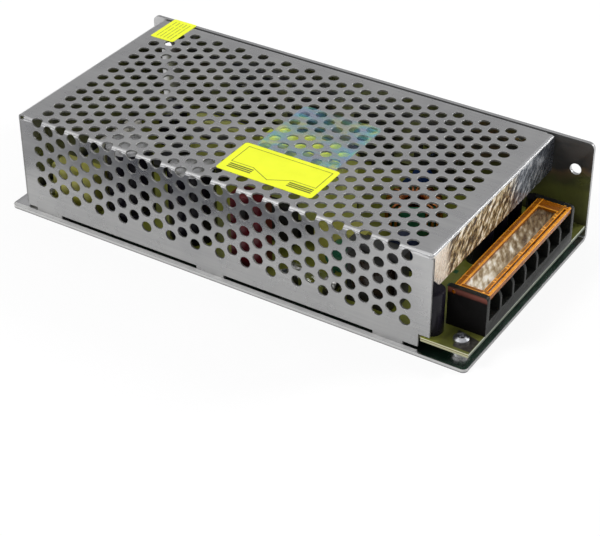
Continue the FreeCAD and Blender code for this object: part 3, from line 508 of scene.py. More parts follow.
# Near end face of the black block: black below, with a painted band of reddish amber light near its top
BLOCK_END_AMBER_LIGHT = layered_edge("block end", 20.0 * MM, 23.2 * MM, [
    (0.0, (0.004, 0.004, 0.004)), (0.25, (0.006, 0.004, 0.004)), (0.4, (0.10, 0.03, 0.022)),
    (0.8, (0.19, 0.065, 0.05)), (1.0, (0.09, 0.035, 0.025))], 0.1)
LAMP_GREEN = finish("lamp green", (0.01, 0.28, 0.05), (0.03, 0.42, 0.09), 400, (0.08, 0.16),
                    bump=0.05, sockets={"Transmission Weight": 0.5})
SELECTOR_RED = finish("selector red", (0.085, 0.004, 0.009), (0.14, 0.007, 0.014), 300, (0.25, 0.4))
KNOB_BLACK = finish("knob black", (0.01, 0.01, 0.01), (0.03, 0.03, 0.03), 500, (0.35, 0.5))
SLEEVE = finish("sleeve black", (0.007, 0.006, 0.010), (0.012, 0.010, 0.017), 200, (0.18, 0.3),
                bump=0.12, bump_grain=600, sockets={"Specular IOR Level": 0.22})
FILM_YELLOW = finish("film box yellow", (0.40, 0.39, 0.06), (0.52, 0.50, 0.12), 200, (0.28, 0.4))
EPOXY = finish("epoxy black", (0.012, 0.012, 0.012), (0.028, 0.028, 0.028), 800, (0.5, 0.65), bump=0.3)
FUSE_CLEAR = clear_material("fuse glass", (0.95, 0.98, 0.96), (0.01, 0.04))
DISC_GREEN = dipped("dipped green", (0.012, 0.10, 0.055), (0.02, 0.15, 0.08))
DISC_NAVY = dipped("dipped navy", (0.012, 0.018, 0.05), (0.02, 0.03, 0.08), (0.25, 0.4))
DISC_BLUE = dipped("dipped blue", (0.012, 0.035, 0.15), (0.02, 0.055, 0.22))
FERRITE = finish("ferrite", (0.035, 0.035, 0.036), (0.07, 0.07, 0.07), 700, (0.4, 0.55), bump=0.3)
BOBBIN = finish("bobbin", (0.015, 0.015, 0.013), (0.03, 0.03, 0.026), 400, (0.35, 0.5))
TAPE = wrapped_tape("yellow tape", (0.36, 0.37, 0.09), (0.48, 0.49, 0.15))
# Side and transformer tapes with a faint painted glow
GLOWING_SIDE_TAPE = wrapped_tape("side tape with painted glow", (0.50, 0.54, 0.12), (0.62, 0.66, 0.20), 0.05)
DARK_WINDING = finish("dark winding", (0.014, 0.009, 0.008), (0.045, 0.027, 0.017), 500, (0.2, 0.35))
GLOWING_TAPE = wrapped_tape("transformer tape with painted glow", (0.66, 0.80, 0.06), (0.82, 0.92, 0.14), 0.12)
# Orange dot on the transformer's tape, with a faint painted glow
GLOWING_ORANGE_DOT = finish("orange dot with painted glow", (0.85, 0.32, 0.01), (0.95, 0.42, 0.02), 400, (0.4, 0.5),
                    sockets={"Emission Color": (0.9, 0.4, 0.02, 1), "Emission Strength": 0.2})
COPPER = finish("enamelled copper", (0.50, 0.16, 0.05), (0.72, 0.30, 0.10), 500, (0.12, 0.25),
                sockets={"Metallic": 1.0, "Coat Weight": 0.5})
RING_GREEN = finish("ring green", (0.01, 0.12, 0.06), (0.02, 0.18, 0.09), 500, (0.35, 0.5))
CEMENT = finish("cement", (0.60, 0.58, 0.52), (0.72, 0.70, 0.64), 600, (0.7, 0.85), bump=0.5)
# Insulating film under the board, dark green: painted shade with the board's green underside reflected
# in it
SHEET_FILM = finish("insulating film", (0.06, 0.11, 0.07), (0.12, 0.19, 0.12), 150, (0.10, 0.22),
                    bump=0.3, bump_grain=60, bump_depth=0.3 * MM)
TRIMMER_BODY = finish("trimmer body", (0.012, 0.012, 0.014), (0.025, 0.025, 0.028), 500, (0.3, 0.45))
TRIMMER_ROTOR = finish("trimmer rotor", (0.03, 0.03, 0.03), (0.06, 0.06, 0.06), 500, (0.35, 0.5))


# Meshes


def add_object(name, data):
    made = bpy.data.objects.new(name, data)
    bpy.context.scene.collection.objects.link(made)
    return made


def new_piece(name, mesh, body, materials):
    piece = add_object(name, mesh)
    for material in materials:
        mesh.materials.append(material)
    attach(piece, body)
    return piece


def smoothed(mesh, angle):
    mesh.shade_smooth()
    mesh.set_sharp_from_angle(angle=math.radians(angle))


def mesh_from(name, points, faces, angle=SHARP_ANGLE):
    mesh = bpy.data.meshes.new(name)
    mesh.from_pydata(points, [], faces)
    mesh.validate()
    smoothed(mesh, angle)
    return mesh


def dressed(node, materials, choose=None, edge=0.0):
    # The CAD piece with its sharp edges broken by some millimetres, in materials chosen face by face
    work = bmesh.new()
    work.from_mesh(nodes[node].data)
    bmesh.ops.remove_doubles(work, verts=work.verts, dist=0.001 * MM)
    bmesh.ops.dissolve_limit(work, angle_limit=math.radians(0.4), verts=work.verts, edges=work.edges)
    if edge:
        sharp = [e for e in work.edges
                 if len(e.link_faces) == 2 and e.calc_face_angle(0.0) > math.radians(SHARP_ANGLE)]
        bmesh.ops.bevel(work, geom=sharp, offset=edge * MM, offset_type="OFFSET",
                        segments=2, profile=0.6, affect="EDGES", clamp_overlap=True)
    mesh = bpy.data.meshes.new(node + "_dressed")
    work.to_mesh(mesh)
    work.free()
    smoothed(mesh, SHARP_ANGLE)
    piece = new_piece(node + "_dressed", mesh, body_of_node[node], materials)
    if choose:
        for face in mesh.polygons:
            face.material_index = choose(face)
    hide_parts(node)


def dress_plain(parts):
    # Pieces of one material each, with the width of their broken edges in millimetres
    for node, material, edge in parts:
        dressed(node, [material], edge=edge)


# Cover: a flat blank with round holes, folded in code


def blank_point(u, v, out, area):
    # Place of a blank's point, with out measured from the sheet's middle towards its outer face
    x0, x1, y0, y1, top = area
    across = max(x0 - u, u - x1, y0 - v, v - y1, 0.0)
    centre = top - OUTER_BEND
    radius = MIDDLE_BEND + out
    if across <= 0.0:
        return Vector((u, v, centre + radius))
    if across < FOLD_LENGTH:
        turn = across / MIDDLE_BEND
        reach = radius * math.sin(turn)
        z = centre + radius * math.cos(turn)
    else:
        reach = radius
        z = centre - (across - FOLD_LENGTH)
    if v < y0:
        return Vector((u, y0 - reach, z))
    if v > y1:
        return Vector((u, y1 + reach, z))
    if u < x0:
        return Vector((x0 - reach, v, z))
    return Vector((x1 + reach, v, z))


def offset_loop(points, distance):
    # Moves a counter-clockwise loop's points outwards, mitred at its corners
    moved = []
    count = len(points)
    for index in range(count):
        before = points[index - 1]
        here = points[index]
        after = points[(index + 1) % count]
        first = (here - before).normalized()
        second = (after - here).normalized()
        normal_a = Vector((first.y, -first.x))
        normal_b = Vector((second.y, -second.x))
        miter = normal_a + normal_b
        moved.append(here + miter * (distance / (1 + normal_a.dot(normal_b))))
    return moved


def perforation_places(area, low, high):
    # Centres of the round holes on the flat blank
    y0, top = area[2], area[4]
    wall_top = top - OUTER_BEND
    first_y = low.y + ROW_START
    first_z = top + ROW_START / 2
    places = []
    for column in range(COLUMNS):
        u = low.x + FIRST_COLUMN + column * COLUMN_PITCH
        on_fold = column % 2 == 0
        step = ROW_PITCH if on_fold else ROW_PITCH / 2
        v = first_y + step
        while v <= high.y - FAR_MARGIN:
            places.append(Vector((u, v)))
            v += ROW_PITCH
        z = first_z - step
        while z >= FOOT + FOOT_MARGIN:
            places.append(Vector((u, y0 - FOLD_LENGTH - (wall_top - z))))
            z -= ROW_PITCH
        if on_fold:
            places.append(Vector((u, y0 - FOLD_LENGTH / 2)))
    return places


def cover_outline(area, low, high):
    # The blank's edge, counter-clockwise from the near wall's left foot
    x0, x1, y0, y1, top = area
    wall_top = top - OUTER_BEND

    def near(z):
        return y0 - FOLD_LENGTH - (wall_top - z)

    wall_left = low.x + RELIEF
    fold_left = x0 + RELIEF
    notch_left = high.x - NOTCH_WIDTH
    points = [(wall_left, near(FOOT))]
    span = high.x - low.x - NOTCH_WIDTH - 2 * TAB_LENGTH
    middle = (low.x + high.x - NOTCH_WIDTH) / 2
    for index in range(TAB_COUNT):
        x = middle + (index - (TAB_COUNT - 1) / 2) * span / (TAB_COUNT - 1)
        for corner in ((-1, 0), (-1, 1), (1, 1), (1, 0)):
            points.append((x + corner[0] * TAB_LENGTH / 2, near(FOOT - corner[1] * TAB_DROP)))
    points += [
        (notch_left, near(FOOT)),
        (notch_left, near(NOTCH_TOP)),
        (high.x, near(NOTCH_TOP)),
        (high.x, near(wall_top)),
        (x1, near(wall_top)),
        (x1, y0),
        (x1 + FOLD_LENGTH, y0),
    ]
    flap_end = x1 + FOLD_LENGTH + FLAP - OUTER_BEND
    points += [
        (flap_end - FLAP_CORNER, y0),
        (flap_end, y0 + FLAP_CORNER),
        (flap_end, y1),
        (x1, y1),
        (x1 - RELIEF, y1),
    ]
    flange = y1 + FOLD_LENGTH + FAR_FLANGE - OUTER_BEND
    end_wall = x0 - FOLD_LENGTH - (wall_top - FOOT)
    points += [
        (x1 - RELIEF, flange),
        (fold_left, flange),
        (fold_left, y1),
        (x0, y1),
        (x0, y1 - RELIEF),
        (end_wall, y1 - RELIEF),
        (end_wall, y0),
        (x0, y0),
        (fold_left, y0),
        (fold_left, near(wall_top)),
        (wall_left, near(wall_top)),
    ]
    return [Vector(point) for point in points]


def ring(centre, radius):
    points = []
    for index in range(HOLE_SEGMENTS):
        turn = 2 * math.pi * index / HOLE_SEGMENTS
        points.append(centre + Vector((math.cos(turn), math.sin(turn))) * radius)
    return points


def fold_lines(area):
    # Straight lines across the blank where it bends
    x0, x1, y0, y1 = area[:4]
    reach = 60 * MM
    lines = []
    for index in range(FOLD_STEPS + 1):
        d = FOLD_LENGTH * index / FOLD_STEPS
        lines.append(((x0 - reach, y0 - d), (x1 + reach, y0 - d)))
        lines.append(((x0 - reach, y1 + d), (x1 + reach, y1 + d)))
        lines.append(((x0 - d, y0 - reach), (x0 - d, y1 + reach)))
        lines.append(((x1 + d, y0 - reach), (x1 + d, y1 + reach)))
    return lines


def boundary_loops(faces):
    edges = set()
    for face in faces:
        for index in range(3):
            edges.add((face[index - 1], face[index]))
    follow = {a: b for a, b in edges if (b, a) not in edges}
    loops = []
    while follow:
        start, here = follow.popitem()
        loop = [start]
        while here != start:
            loop.append(here)
            here = follow.pop(here)
        loops.append(loop)
    return loops


def nearest_hole(point, lattice):
    column = round(point.x / COLUMN_PITCH)
    best = None
    for key in (column - 1, column, column + 1):
        for centre in lattice.get(key, ()):
            distance = (point - centre).length
            if best is None or distance < best[0]:
                best = (distance, centre)
    return best


def make_cover():
    low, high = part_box("mesh_cover")
    top = high.z
    area = (low.x + OUTER_BEND, high.x - OUTER_BEND, low.y + OUTER_BEND, high.y - OUTER_BEND, top)
    places = perforation_places(area, low, high)
    lattice = {}
    for centre in places:
        lattice.setdefault(round(centre.x / COLUMN_PITCH), []).append(centre)
    outline = offset_loop(cover_outline(area, low, high), -EDGE_BREAK)
    points = list(outline)
    edges = [(index, (index + 1) % len(outline)) for index in range(len(outline))]
    for centre in places:
        start = len(points)
        points += ring(centre, HOLE_RADIUS + EDGE_BREAK)
        edges += [(start + i, start + (i + 1) % HOLE_SEGMENTS) for i in range(HOLE_SEGMENTS)]
    for first, second in fold_lines(area):
        edges.append((len(points), len(points) + 1))
        points += [Vector(first), Vector(second)]
    flat, _, triangles, _, _, _ = geometry.delaunay_2d_cdt(points, edges, [], 0, 1e-9)
    kept = []
    for face in triangles:
        middle = (flat[face[0]] + flat[face[1]] + flat[face[2]]) / 3
        distance, centre = nearest_hole(middle, lattice) or (1.0, None)
        if distance > HOLE_RADIUS * 0.99 and inside(middle, outline):
            kept.append(tuple(face))
    fold_up(flat, kept, lattice, area)


def inside(point, outline):
    crossings = False
    before = outline[-1]
    for here in outline:
        if (here.y > point.y) != (before.y > point.y):
            x = here.x + (point.y - here.y) / (before.y - here.y) * (before.x - here.x)
            if point.x < x:
                crossings = not crossings
        before = here
    return crossings


def fold_up(flat, faces, lattice, area):
    # Both faces of the sheet, and its cut edges with their small chamfers, all folded into place
    half = SHEET / 2
    used = sorted({index for face in faces for index in face})
    new_index = {old: new for new, old in enumerate(used)}
    count = len(used)
    points = [blank_point(flat[i].x, flat[i].y, half, area) for i in used]
    points += [blank_point(flat[i].x, flat[i].y, -half, area) for i in used]
    made = [tuple(new_index[i] for i in face) for face in faces]
    made += [tuple(new_index[i] + count for i in reversed(face)) for face in faces]
    for loop in boundary_loops(faces):
        spots = [flat[i] for i in loop]
        distance, centre = nearest_hole(spots[0], lattice) or (1.0, None)
        if distance < HOLE_RADIUS * 1.2:
            edge = [centre + (spot - centre).normalized() * HOLE_RADIUS for spot in spots]
        else:
            edge = offset_loop(spots, EDGE_BREAK)
        start = len(points)
        size = len(loop)
        for out in (half - EDGE_BREAK, EDGE_BREAK - half):
            points += [blank_point(spot.x, spot.y, out, area) for spot in edge]
        rows = [
            [new_index[i] for i in loop],
            list(range(start, start + size)),
            list(range(start + size, start + 2 * size)),
            [new_index[i] + count for i in loop],
        ]
        for upper, lower in zip(rows, rows[1:]):
            for index in range(size):
                after = (index + 1) % size
                made.append((upper[index], lower[index], lower[after], upper[after]))
    cut_from = 2 * len(faces)
    cut_to = len(made)
    corner_faces(points, made, area)
    mesh = mesh_from("cover_sheet", points, made, 40.0)
    flap = flap_metal("flap metal", area[2], area[3])
    piece = new_piece("cover_sheet", mesh, "case",
                      [COVER_METAL, flap, CUT_METAL, LIGHTENED_FOLD_METAL])
    flap_from = area[1] + OUTER_BEND - SHEET / 2
    # Cut edges, then the flap's outer face with its painted reflections, then the folds painted lighter
    # as a highlight; all else is plain sheet
    for face in mesh.polygons:
        if cut_from <= face.index < cut_to:
            face.material_index = 2
        elif face.center.x > flap_from and face.normal.x > 0.9:
            face.material_index = 1
        elif face.normal.z > 0.15 and max(abs(value) for value in face.normal) < 0.99:
            face.material_index = 3
    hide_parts("mesh_cover")


def corner_faces(points, faces, area):
    # Drawn corner between the near fold and the flap's fold: an eighth of a ball
    steps = 6
    x1, y0, top = area[1], area[2], area[4]
    radius = OUTER_BEND - 0.02 * MM
    start = len(points)
    for row in range(steps + 1):
        tilt = math.radians(90 * row / steps)
        for column in range(steps + 1):
            turn = math.radians(90 * column / steps)
            points.append(Vector((x1 + radius * math.cos(tilt) * math.cos(turn),
                                  y0 - radius * math.cos(tilt) * math.sin(turn),
                                  top - OUTER_BEND + radius * math.sin(tilt))))
    for row in range(steps):
        for column in range(steps):
            a = start + row * (steps + 1) + column
            b = a + steps + 1
            if row == steps - 1:
                faces.append((a, b, a + 1))
            else:
                faces.append((a, b, b + 1, a + 1))


# Other pieces


def top_faces(limit):
    # Chooses the second material for faces that look up from above a height
    def choose(face):
        return 1 if face.normal.z > 0.9 and face.center.z > limit else 0

    return choose


def make_chassis():
    # The base and the tall wall, its inner face in painted shade and its cut edge with a painted
    # shadow, with a strip along the lip that stands out below the near wall, painted light grey
    low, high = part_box("chassis")
    cover_low, cover_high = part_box("mesh_cover")

    def part_of_chassis(face):
        if face.center.z < BASE_SHEET and abs(face.normal.z) < 0.1:
            return 2
        return 1 if face.normal.y < -0.9 and face.center.y > high.y - 3 * MM else 0

    dressed("chassis", [CHASSIS_METAL, WALL_INSIDE, BASE_EDGE_SHADOWED], part_of_chassis, edge=0.12)
    near = low.y + 0.15 * MM
    far = cover_low.y - 0.05 * MM
    left = low.x + 0.6 * MM
    right = cover_high.x - NOTCH_WIDTH
    overlay("base_lip_light_strip", [(left, near), (right, near), (right, far), (left, far)], BASE_SHEET,
            0.03 * MM, BASE_LIP_LIGHT)
    dressed("cover_screws", [BRIGHT_SCREW], edge=0.05)


def rounded_outline(low_x, high_x, low_y, high_y, radius):
    steps = 6
    points = []
    corners = ((high_x - radius, low_y + radius, -90), (high_x - radius, high_y - radius, 0),
               (low_x + radius, high_y - radius, 90), (low_x + radius, low_y + radius, 180))
    for x, y, start in corners:
        for step in range(steps + 1):
            turn = math.radians(start + 90 * step / steps)
            points.append((x + radius * math.cos(turn), y + radius * math.sin(turn)))
    return points


def sheet_mesh(name, outline, bottom, top):
    count = len(outline)
    points = [(x, y, bottom) for x, y in outline] + [(x, y, top) for x, y in outline]
    faces = [tuple(reversed(range(count))), tuple(range(count, 2 * count))]
    for index in range(count):
        after = (index + 1) % count
        faces.append((index, after, count + after, count + index))
    return mesh_from(name, points, faces)


def printed(name, lines, z, material):
    # Flat strips along broken lines, each stretch reaching half its width past its two ends
    verts = []
    faces = []
    for points, width in lines:
        for first, second in zip(points, points[1:]):
            a = Vector(first)
            b = Vector(second)
            along = (b - a).normalized() * (width / 2)
            side = Vector((along.y, -along.x))
            start = len(verts)
            for spot in (a - along + side, b + along + side, b + along - side, a - along - side):
                verts.append((spot.x, spot.y, z))
            faces.append((start, start + 1, start + 2, start + 3))
    mesh = mesh_from(name, verts, faces)
    new_piece(name, mesh, "case", [material])


def sticker(name, node, corner, material, under=0.0, over=0.02 * MM):
    # Rounded sheet in place of a thin node, a little inside its lower or its upper face
    low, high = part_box(node)
    mesh = sheet_mesh(name, rounded_outline(low.x, high.x, low.y, high.y, corner),
                      low.z + under, high.z - over)
    piece = new_piece(name, mesh, "case", [material])
    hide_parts(node)


def make_labels():
    sticker("voltage_sticker", "voltage_label", 1.3 * MM, LABEL_YELLOW)
    low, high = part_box("voltage_label")
    left = low.x + 2.7 * MM
    right = high.x - 2.1 * MM
    upper = high.y - 2.1 * MM
    lower = low.y + 6.7 * MM
    middle = (left + right) / 2
    point_half = 8.4 * MM
    point_drop = 4.3 * MM
    frame_line = [(left, lower), (left, upper), (right, upper), (right, lower),
                  (middle + point_half, lower), (middle, lower - point_drop),
                  (middle - point_half, lower), (left, lower)]
    lines = [(frame_line, 0.28 * MM)]
    bar = 9.4 * MM
    for start in (left + 0.7 * MM, right - 9.6 * MM):
        for row in range(3):
            y = lower - (1.5 + 1.1 * row) * MM
            lines.append(([(start, y), (start + bar, y)], 0.7 * MM))
    printed("sticker_print", lines, high.z - PRINT_DEPTH, LABEL_INK)
    low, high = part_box("inspection_label")
    lines = []
    for row in range(5):
        x = low.x + (2.1 + 1.7 * row) * MM
        for start, end in ((1.6, 6.2), (7.0, 11.4 - 0.7 * (row % 2)), (12.2, 15.2)):
            lines.append(([(x, low.y + start * MM), (x, low.y + end * MM)], 0.45 * MM))
    printed("inspection_print", lines, high.z - PRINT_DEPTH, LABEL_PALE_INK)
    sticker("inspection_sticker", "inspection_label", 0.6 * MM, LABEL_YELLOW)
    film = rainbow_film("rainbow film", *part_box("clear_seal"))
    sticker("film_seal", "clear_seal", 2.0 * MM, film, 0.01 * MM, 0.0)


def overlay(name, outline, surface, height, material, body="case", sunk=0.01 * MM):
    # Thin drawn piece on a flat face, begun a little inside it
    mesh = sheet_mesh(name, outline, surface - sunk, surface + height)
    new_piece(name, mesh, body, [material])


def board_lands():
    # Tinned land round the corner screw and a few green lands near the terminal block
    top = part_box("circuit_board")[1].z
    corners = [(x * MM, y * MM) for x, y in CORNER_LAND]
    overlay("corner_land", corners, top, 0.03 * MM, DARK_PAD)
    for number, (x, y) in enumerate(GREEN_LANDS):
        outline = rounded_outline((x - 0.8) * MM, (x + 0.8) * MM, (y - 1.1) * MM, (y + 1.1) * MM,
                                  0.3 * MM)
        overlay("green_land_%d" % number, outline, top, 0.03 * MM, PAD_GREEN)


def make_board():
    def part_of_board(face):
        if face.normal.z > 0.9:
            return 0
        if face.normal.z < -0.9:
            return 2
        # Sides facing +X take the painted shade
        return 3 if face.normal.x > 0.9 else 1

    dressed("circuit_board", [BOARD_TOP, BOARD_EDGE, BOARD_MASK, SHADED_BOARD_SIDE], part_of_board,
            edge=0.05)
    board_lands()
    dress_plain((("board_pillars", BRIGHT_SCREW, 0.2), ("board_screws", DULL_SCREW, 0.08),
                 ("insulation_sheet", SHEET_FILM, 0.0)))


def make_terminals():
    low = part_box("terminal_housing")[0]

    def part_of_block(face):
        # Near end face: painted amber light at its top
        if face.normal.y < -0.9 and face.center.y < low.y + 0.5 * MM:
            return 1
        # Front face below the bays: painted light
        return 2 if face.normal.x > 0.9 and face.center.z < low.z + 6.5 * MM else 0

    dressed("terminal_housing", [BLOCK_BLACK, BLOCK_END_AMBER_LIGHT, LIT_BLOCK_APRON], part_of_block, edge=0.12)
    dressed("terminal_contacts", [TINNED], edge=0.08)
    for number in range(1, POLES + 1):
        dressed("clamp_washer_%d" % number, [PLATED_STEEL], edge=0.1)
        dressed("terminal_screw_%d" % number, [PLATED_STEEL], edge=0.08)


def make_lid():
    low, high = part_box("terminal_lid")

    def part_of_lid(face):
        if abs(face.normal.z) > 0.9 and high.z - 2.4 * MM < face.center.z < high.z - 0.9 * MM:
            return 0
        # Top edges: painted highlight
        if face.center.z > high.z - 0.4 * MM and max(abs(value) for value in face.normal) < 0.97:
            return 2
        return 1

    pane = lid_pane("clear pane", low.y, high.y)
    dressed("terminal_lid", [pane, AMBER_RIM, AMBER_EDGE_HIGHLIGHT], part_of_lid, edge=0.26)
    near = low.y + 2.0 * MM
    far = high.y - 2.0 * MM
    # A clear band with painted glints of the screws, and two thin strips of painted orange highlight
    # along the lid's front and back
    strips = (("lid_glint_band", AMBER_BAND, high.x - LID_FRONT_BAND + 0.25 * MM,
               high.x - LID_GROOVE_EDGE - 0.2 * MM),
              ("lid_highlight_front", AMBER_EDGE_HIGHLIGHT, high.x - 0.75 * MM, high.x - 0.35 * MM),
              ("lid_highlight_back", AMBER_EDGE_HIGHLIGHT, low.x + 2.75 * MM, low.x + 3.1 * MM))
    for name, material, left, right in strips:
        corners = [(left, near), (right, near), (right, far), (left, far)]
        overlay(name, corners, high.z, 0.02 * MM, material, "terminal_lid",
                0.03 * MM)


def make_controls():
    lamp_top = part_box("status_lamp")[1].z
    dressed("trimmer_body", [TRIMMER_BODY], edge=0.15)
    dressed("trimmer_rotor", [TRIMMER_ROTOR], edge=0.08)
    dressed("status_lamp", [LAMP_GREEN, LEAD_METAL],
            lambda face: 1 if face.center.z < lamp_top - 5.0 * MM else 0, edge=0.1)
    dressed("selector_body", [SELECTOR_RED], edge=0.25)
    dressed("selector_slider", [KNOB_BLACK], edge=0.12)


def make_parts():
    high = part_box("bulk_capacitors")[1].z
    dressed("bulk_capacitors", [SLEEVE, CAN_METAL], top_faces(high - 3.0 * MM), edge=0.2)
    dress_plain((
        ("output_capacitors", SLEEVE, 0.2), ("small_capacitors", SLEEVE, 0.2),
        ("film_capacitors", FILM_YELLOW, 0.4), ("bridge_rectifier", EPOXY, 0.3),
        ("power_transistors", EPOXY, 0.2), ("output_rectifiers", EPOXY, 0.2),
        ("clamp_screws", BRIGHT_SCREW, 0.1), ("control_chip", EPOXY, 0.1),
        ("fuse_glass", FUSE_CLEAR, 0.0), ("fuse_caps", BRIGHT_SCREW, 0.3),
        ("fuse_clips", BRIGHT_SCREW, 0.1), ("inrush_thermistor", DISC_GREEN, 0.8),
        ("surge_disc", DISC_NAVY, 0.8), ("noise_capacitors", DISC_BLUE, 0.6)))
    for name, side, top, winding in (("transformer", GLOWING_SIDE_TAPE, GLOWING_TAPE, GLOWING_SIDE_TAPE),
                                     ("driver", TAPE, TAPE, TAPE),
                                     ("line_filter", FERRITE, FERRITE, DARK_WINDING)):
        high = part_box(name + "_core")[1]
        dressed(name + "_core", [side, top], top_faces(high.z - 3.0 * MM), edge=0.3)
        dressed(name + "_bobbin", [BOBBIN], edge=0.15)
        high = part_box(name + "_winding")[1]
        dressed(name + "_winding", [winding, top if name == "transformer" else winding],
                top_faces(high.z - 2.0 * MM), edge=0.4)
    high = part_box("transformer_core")[1]
    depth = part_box("mesh_cover")[1].z - high.z
    x = DOT_X + SIGHT_X * depth
    y = min(DOT_Y + SIGHT_Y * depth, high.y - 2.0 * MM)
    dot = rounded_outline(x - DOT_RADIUS, x + DOT_RADIUS, y - DOT_RADIUS, y + DOT_RADIUS, DOT_RADIUS)
    overlay("tape_dot", dot, high.z, 0.05 * MM, GLOWING_ORANGE_DOT)
    dress_plain((("power_resistors", CEMENT, 0.25), ("heat_spreader", SPREADER_METAL, 0.2),
                 ("inductor_core", RING_GREEN, 0.5)))


def tube_mesh(name, path, radius):
    # Round wire along a path of points
    sides = 8
    points = []
    faces = []
    side = None
    for index, here in enumerate(path):
        before = path[max(index - 1, 0)]
        after = path[min(index + 1, len(path) - 1)]
        along = (after - before).normalized()
        if side is None:
            side = along.orthogonal().normalized()
        side = (side - along * side.dot(along)).normalized()
        other = along.cross(side)
        for step in range(sides):
            turn = 2 * math.pi * step / sides
            points.append(here + (side * math.cos(turn) + other * math.sin(turn)) * radius)
    for index in range(len(path) - 1):
        for step in range(sides):
            a = index * sides + step
            b = index * sides + (step + 1) % sides
            faces.append((a, b, b + sides, a + sides))
    faces.append(tuple(reversed(range(sides))))
    last = (len(path) - 1) * sides
    faces.append(tuple(range(last, last + sides)))
    return mesh_from(name, points, faces, 60.0)


def squared(value):
    # Bends a turn of wire from a circle towards a rectangle with round corners
    return math.copysign(abs(value) ** RING_SQUARENESS, value)


def make_ring_winding():
    core_low, core_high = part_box("inductor_core")
    centre = (core_low + core_high) / 2
    outer = (core_high.x - core_low.x) / 2
    clear = RING_WIRE_RADIUS * 1.15
    middle = (outer + RING_BORE) / 2
    half_width = (outer - RING_BORE) / 2 + clear
    half_height = (core_high.z - core_low.z) / 2 + clear
    steps = RING_TURNS * STEPS_OF_TURN
    path = []
    for index in range(steps + 1):
        around = math.radians(RING_START + RING_SWEEP * (index / steps))
        turn = 2 * math.pi * index / STEPS_OF_TURN
        across = half_width * squared(math.cos(turn))
        up = half_height * squared(math.sin(turn))
        distance = middle + across
        path.append(Vector((centre.x + distance * math.cos(around),
                            centre.y + distance * math.sin(around), centre.z + up)))
    mesh = tube_mesh("ring_wire", path, RING_WIRE_RADIUS)
    piece = new_piece("ring_wire", mesh, "case", [COPPER])
    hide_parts("inductor_winding")


# Studio


def stage_sheet(name, corners, material):
    # Flat sheet of the studio, not a part of the object
    mesh = bpy.data.meshes.new(name)
    mesh.from_pydata(corners, [], [tuple(range(len(corners)))])
    mesh.materials.append(material)
    sheet = add_object(name, mesh)
    return sheet


def seen_directly(tree):
    # One for rays that come from the camera, through clear pieces as well, and nought for others
    path = add_node(tree, "LightPath")
    return two_values(tree, "MAXIMUM", path.outputs["Is Camera Ray"],
                      path.outputs["Is Transmission Ray"])


def make_floor():
    # Pale paper, brightened by its own glow where it is seen directly
    made, tree, shader = new_material("floor paper")
    seen = seen_directly(tree)
    connect(tree, shader, {
        "Base Color": range_node(tree, seen, 0.76, 0.95, 0.0, 1.0),
        "Roughness": 0.9,
        "Specular IOR Level": 0.1,
    })
    glow = add_node(tree, "Emission", {"Strength": 1.0})
    share = two_values(tree, "MULTIPLY", seen, 0.84)
    mix = add_node(tree, "MixShader", {0: share, 1: shader.outputs[0], 2: glow.outputs[0]})
    connect(tree, tree.nodes["Material Output"], {"Surface": mix.outputs[0]})
    corners = [(-FLOOR_REACH, -FLOOR_REACH, 0), (FLOOR_REACH, -FLOOR_REACH, 0),
               (FLOOR_REACH, FLOOR_REACH, 0), (-FLOOR_REACH, FLOOR_REACH, 0)]
    floor = stage_sheet("floor", corners, made)
    floor.location.z = -FLOOR_GAP


def mirrored_card(name, colour, rough, corners):
    # Stage sheet that shows only in glossy reflections
    made, tree, shader = new_material(name)
    connect(tree, shader, {"Base Color": (*colour, 1), "Roughness": rough})
    card = stage_sheet(name, corners, made)
    card.visible_camera = False
    card.visible_diffuse = False
    card.visible_shadow = False


def make_cards():
    # Two cards on the table in front of the near wall, and a dark flag above and behind the case
    cards = (("dark card", (0.03, 0.035, 0.055), ((-112, -78), (-15, -80), (25, -94), (25, -150),
                                                  (-112, -150))),
             ("grey card", (0.42, 0.42, 0.43), ((-220, -52), (-112, -52), (-112, -150),
                                                (-220, -150))))
    for name, colour, corners in cards:
        mirrored_card(name, colour, 0.8, [(x * MM, y * MM, 0.3 * MM) for x, y in corners])
    mirrored_card("flag", (0.02, 0.02, 0.024), 0.9,
                  [(-0.10, 0.86, 0.78), (0.34, 0.86, 0.70), (0.34, 1.0, 0.86), (-0.10, 1.0, 0.98)])


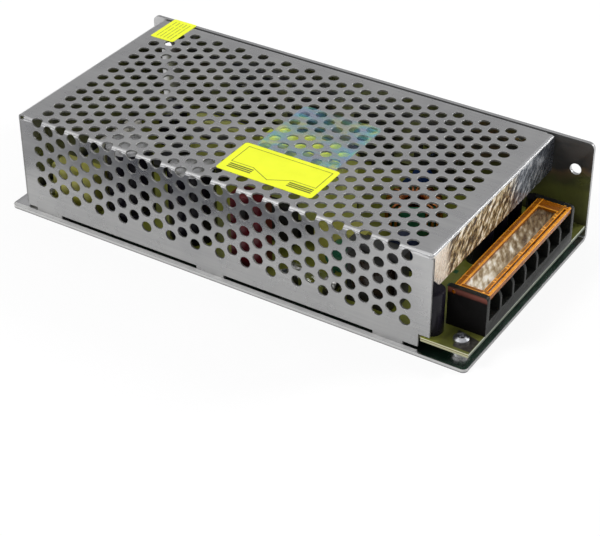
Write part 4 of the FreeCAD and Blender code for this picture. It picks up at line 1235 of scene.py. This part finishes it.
def make_world():
    # White where it is seen directly, and a soft grey sky for all other rays
    world = bpy.data.worlds.new("studio")
    bpy.context.scene.world = world
    world.use_nodes = True
    tree = world.node_tree
    place = add_node(tree, "TexCoord")
    split = add_node(tree, "SeparateXYZ", {0: place.outputs["Generated"]})
    sky = ramp_node(tree, split.outputs["Z"], [(0.0, (0.75, 0.75, 0.75)), (0.25, (0.42, 0.42, 0.43)),
                                              (0.6, (0.50, 0.50, 0.51)), (1.0, (0.85, 0.85, 0.85))])
    background = tree.nodes["Background"]
    connect(tree, background, {"Color": sky})
    white = add_node(tree, "Background", {"Strength": 1.0})
    mix = add_node(tree, "MixShader",
                   {0: seen_directly(tree), 1: background.outputs[0], 2: white.outputs[0]})
    connect(tree, tree.nodes["World Output"], {"Surface": mix.outputs[0]})


def add_lamp(name, place, size, power, mirrored):
    data = bpy.data.lights.new(name, "AREA")
    data.shape = "DISK"
    data.size = size
    data.energy = power
    lamp = add_object(name, data)
    lamp.location = place
    lamp.rotation_mode = "QUATERNION"
    lamp.rotation_quaternion = (-Vector(place)).to_track_quat("-Z", "Y")
    lamp.visible_glossy = mirrored


def make_lamps():
    # At each place a softbox that isn't mirrored and a smaller lamp that is
    front_left = (-0.62, -0.80, 0.98)
    back_right = (0.80, 0.98, 0.62)
    add_lamp("front left softbox", front_left, 0.55, 3.2, False)
    add_lamp("front left highlight", front_left, 0.5, 5.8, True)
    add_lamp("back right softbox", back_right, 0.6, 2.5, False)
    add_lamp("back right highlight", back_right, 0.42, 9.0, True)


def make_camera():
    azimuth = math.radians(CAMERA_AZIMUTH)
    elevation = math.radians(CAMERA_ELEVATION)
    forward = Vector((-math.sin(azimuth) * math.cos(elevation),
                      math.cos(azimuth) * math.cos(elevation), -math.sin(elevation)))
    data = bpy.data.cameras.new("camera")
    data.lens = CAMERA_LENS
    data.sensor_width = 36.0
    data.clip_start = 0.02
    camera = add_object("camera", data)
    camera.location = CAMERA_PLACE
    turned = forward.to_track_quat("-Z", "Y").to_matrix()
    roll = math.radians(CAMERA_ROLL)
    right = turned.col[0] * math.cos(roll) + turned.col[1] * math.sin(roll)
    up = turned.col[1] * math.cos(roll) - turned.col[0] * math.sin(roll)
    turned.col[0] = right
    turned.col[1] = up
    camera.rotation_euler = turned.to_euler()
    bpy.context.scene.camera = camera


make_chassis()
make_cover()
make_labels()
make_board()
make_terminals()
make_lid()
make_controls()
make_parts()
make_ring_winding()
make_floor()
make_cards()
make_world()
make_lamps()
make_camera()

bpy.context.scene.view_settings.view_transform = "Standard"
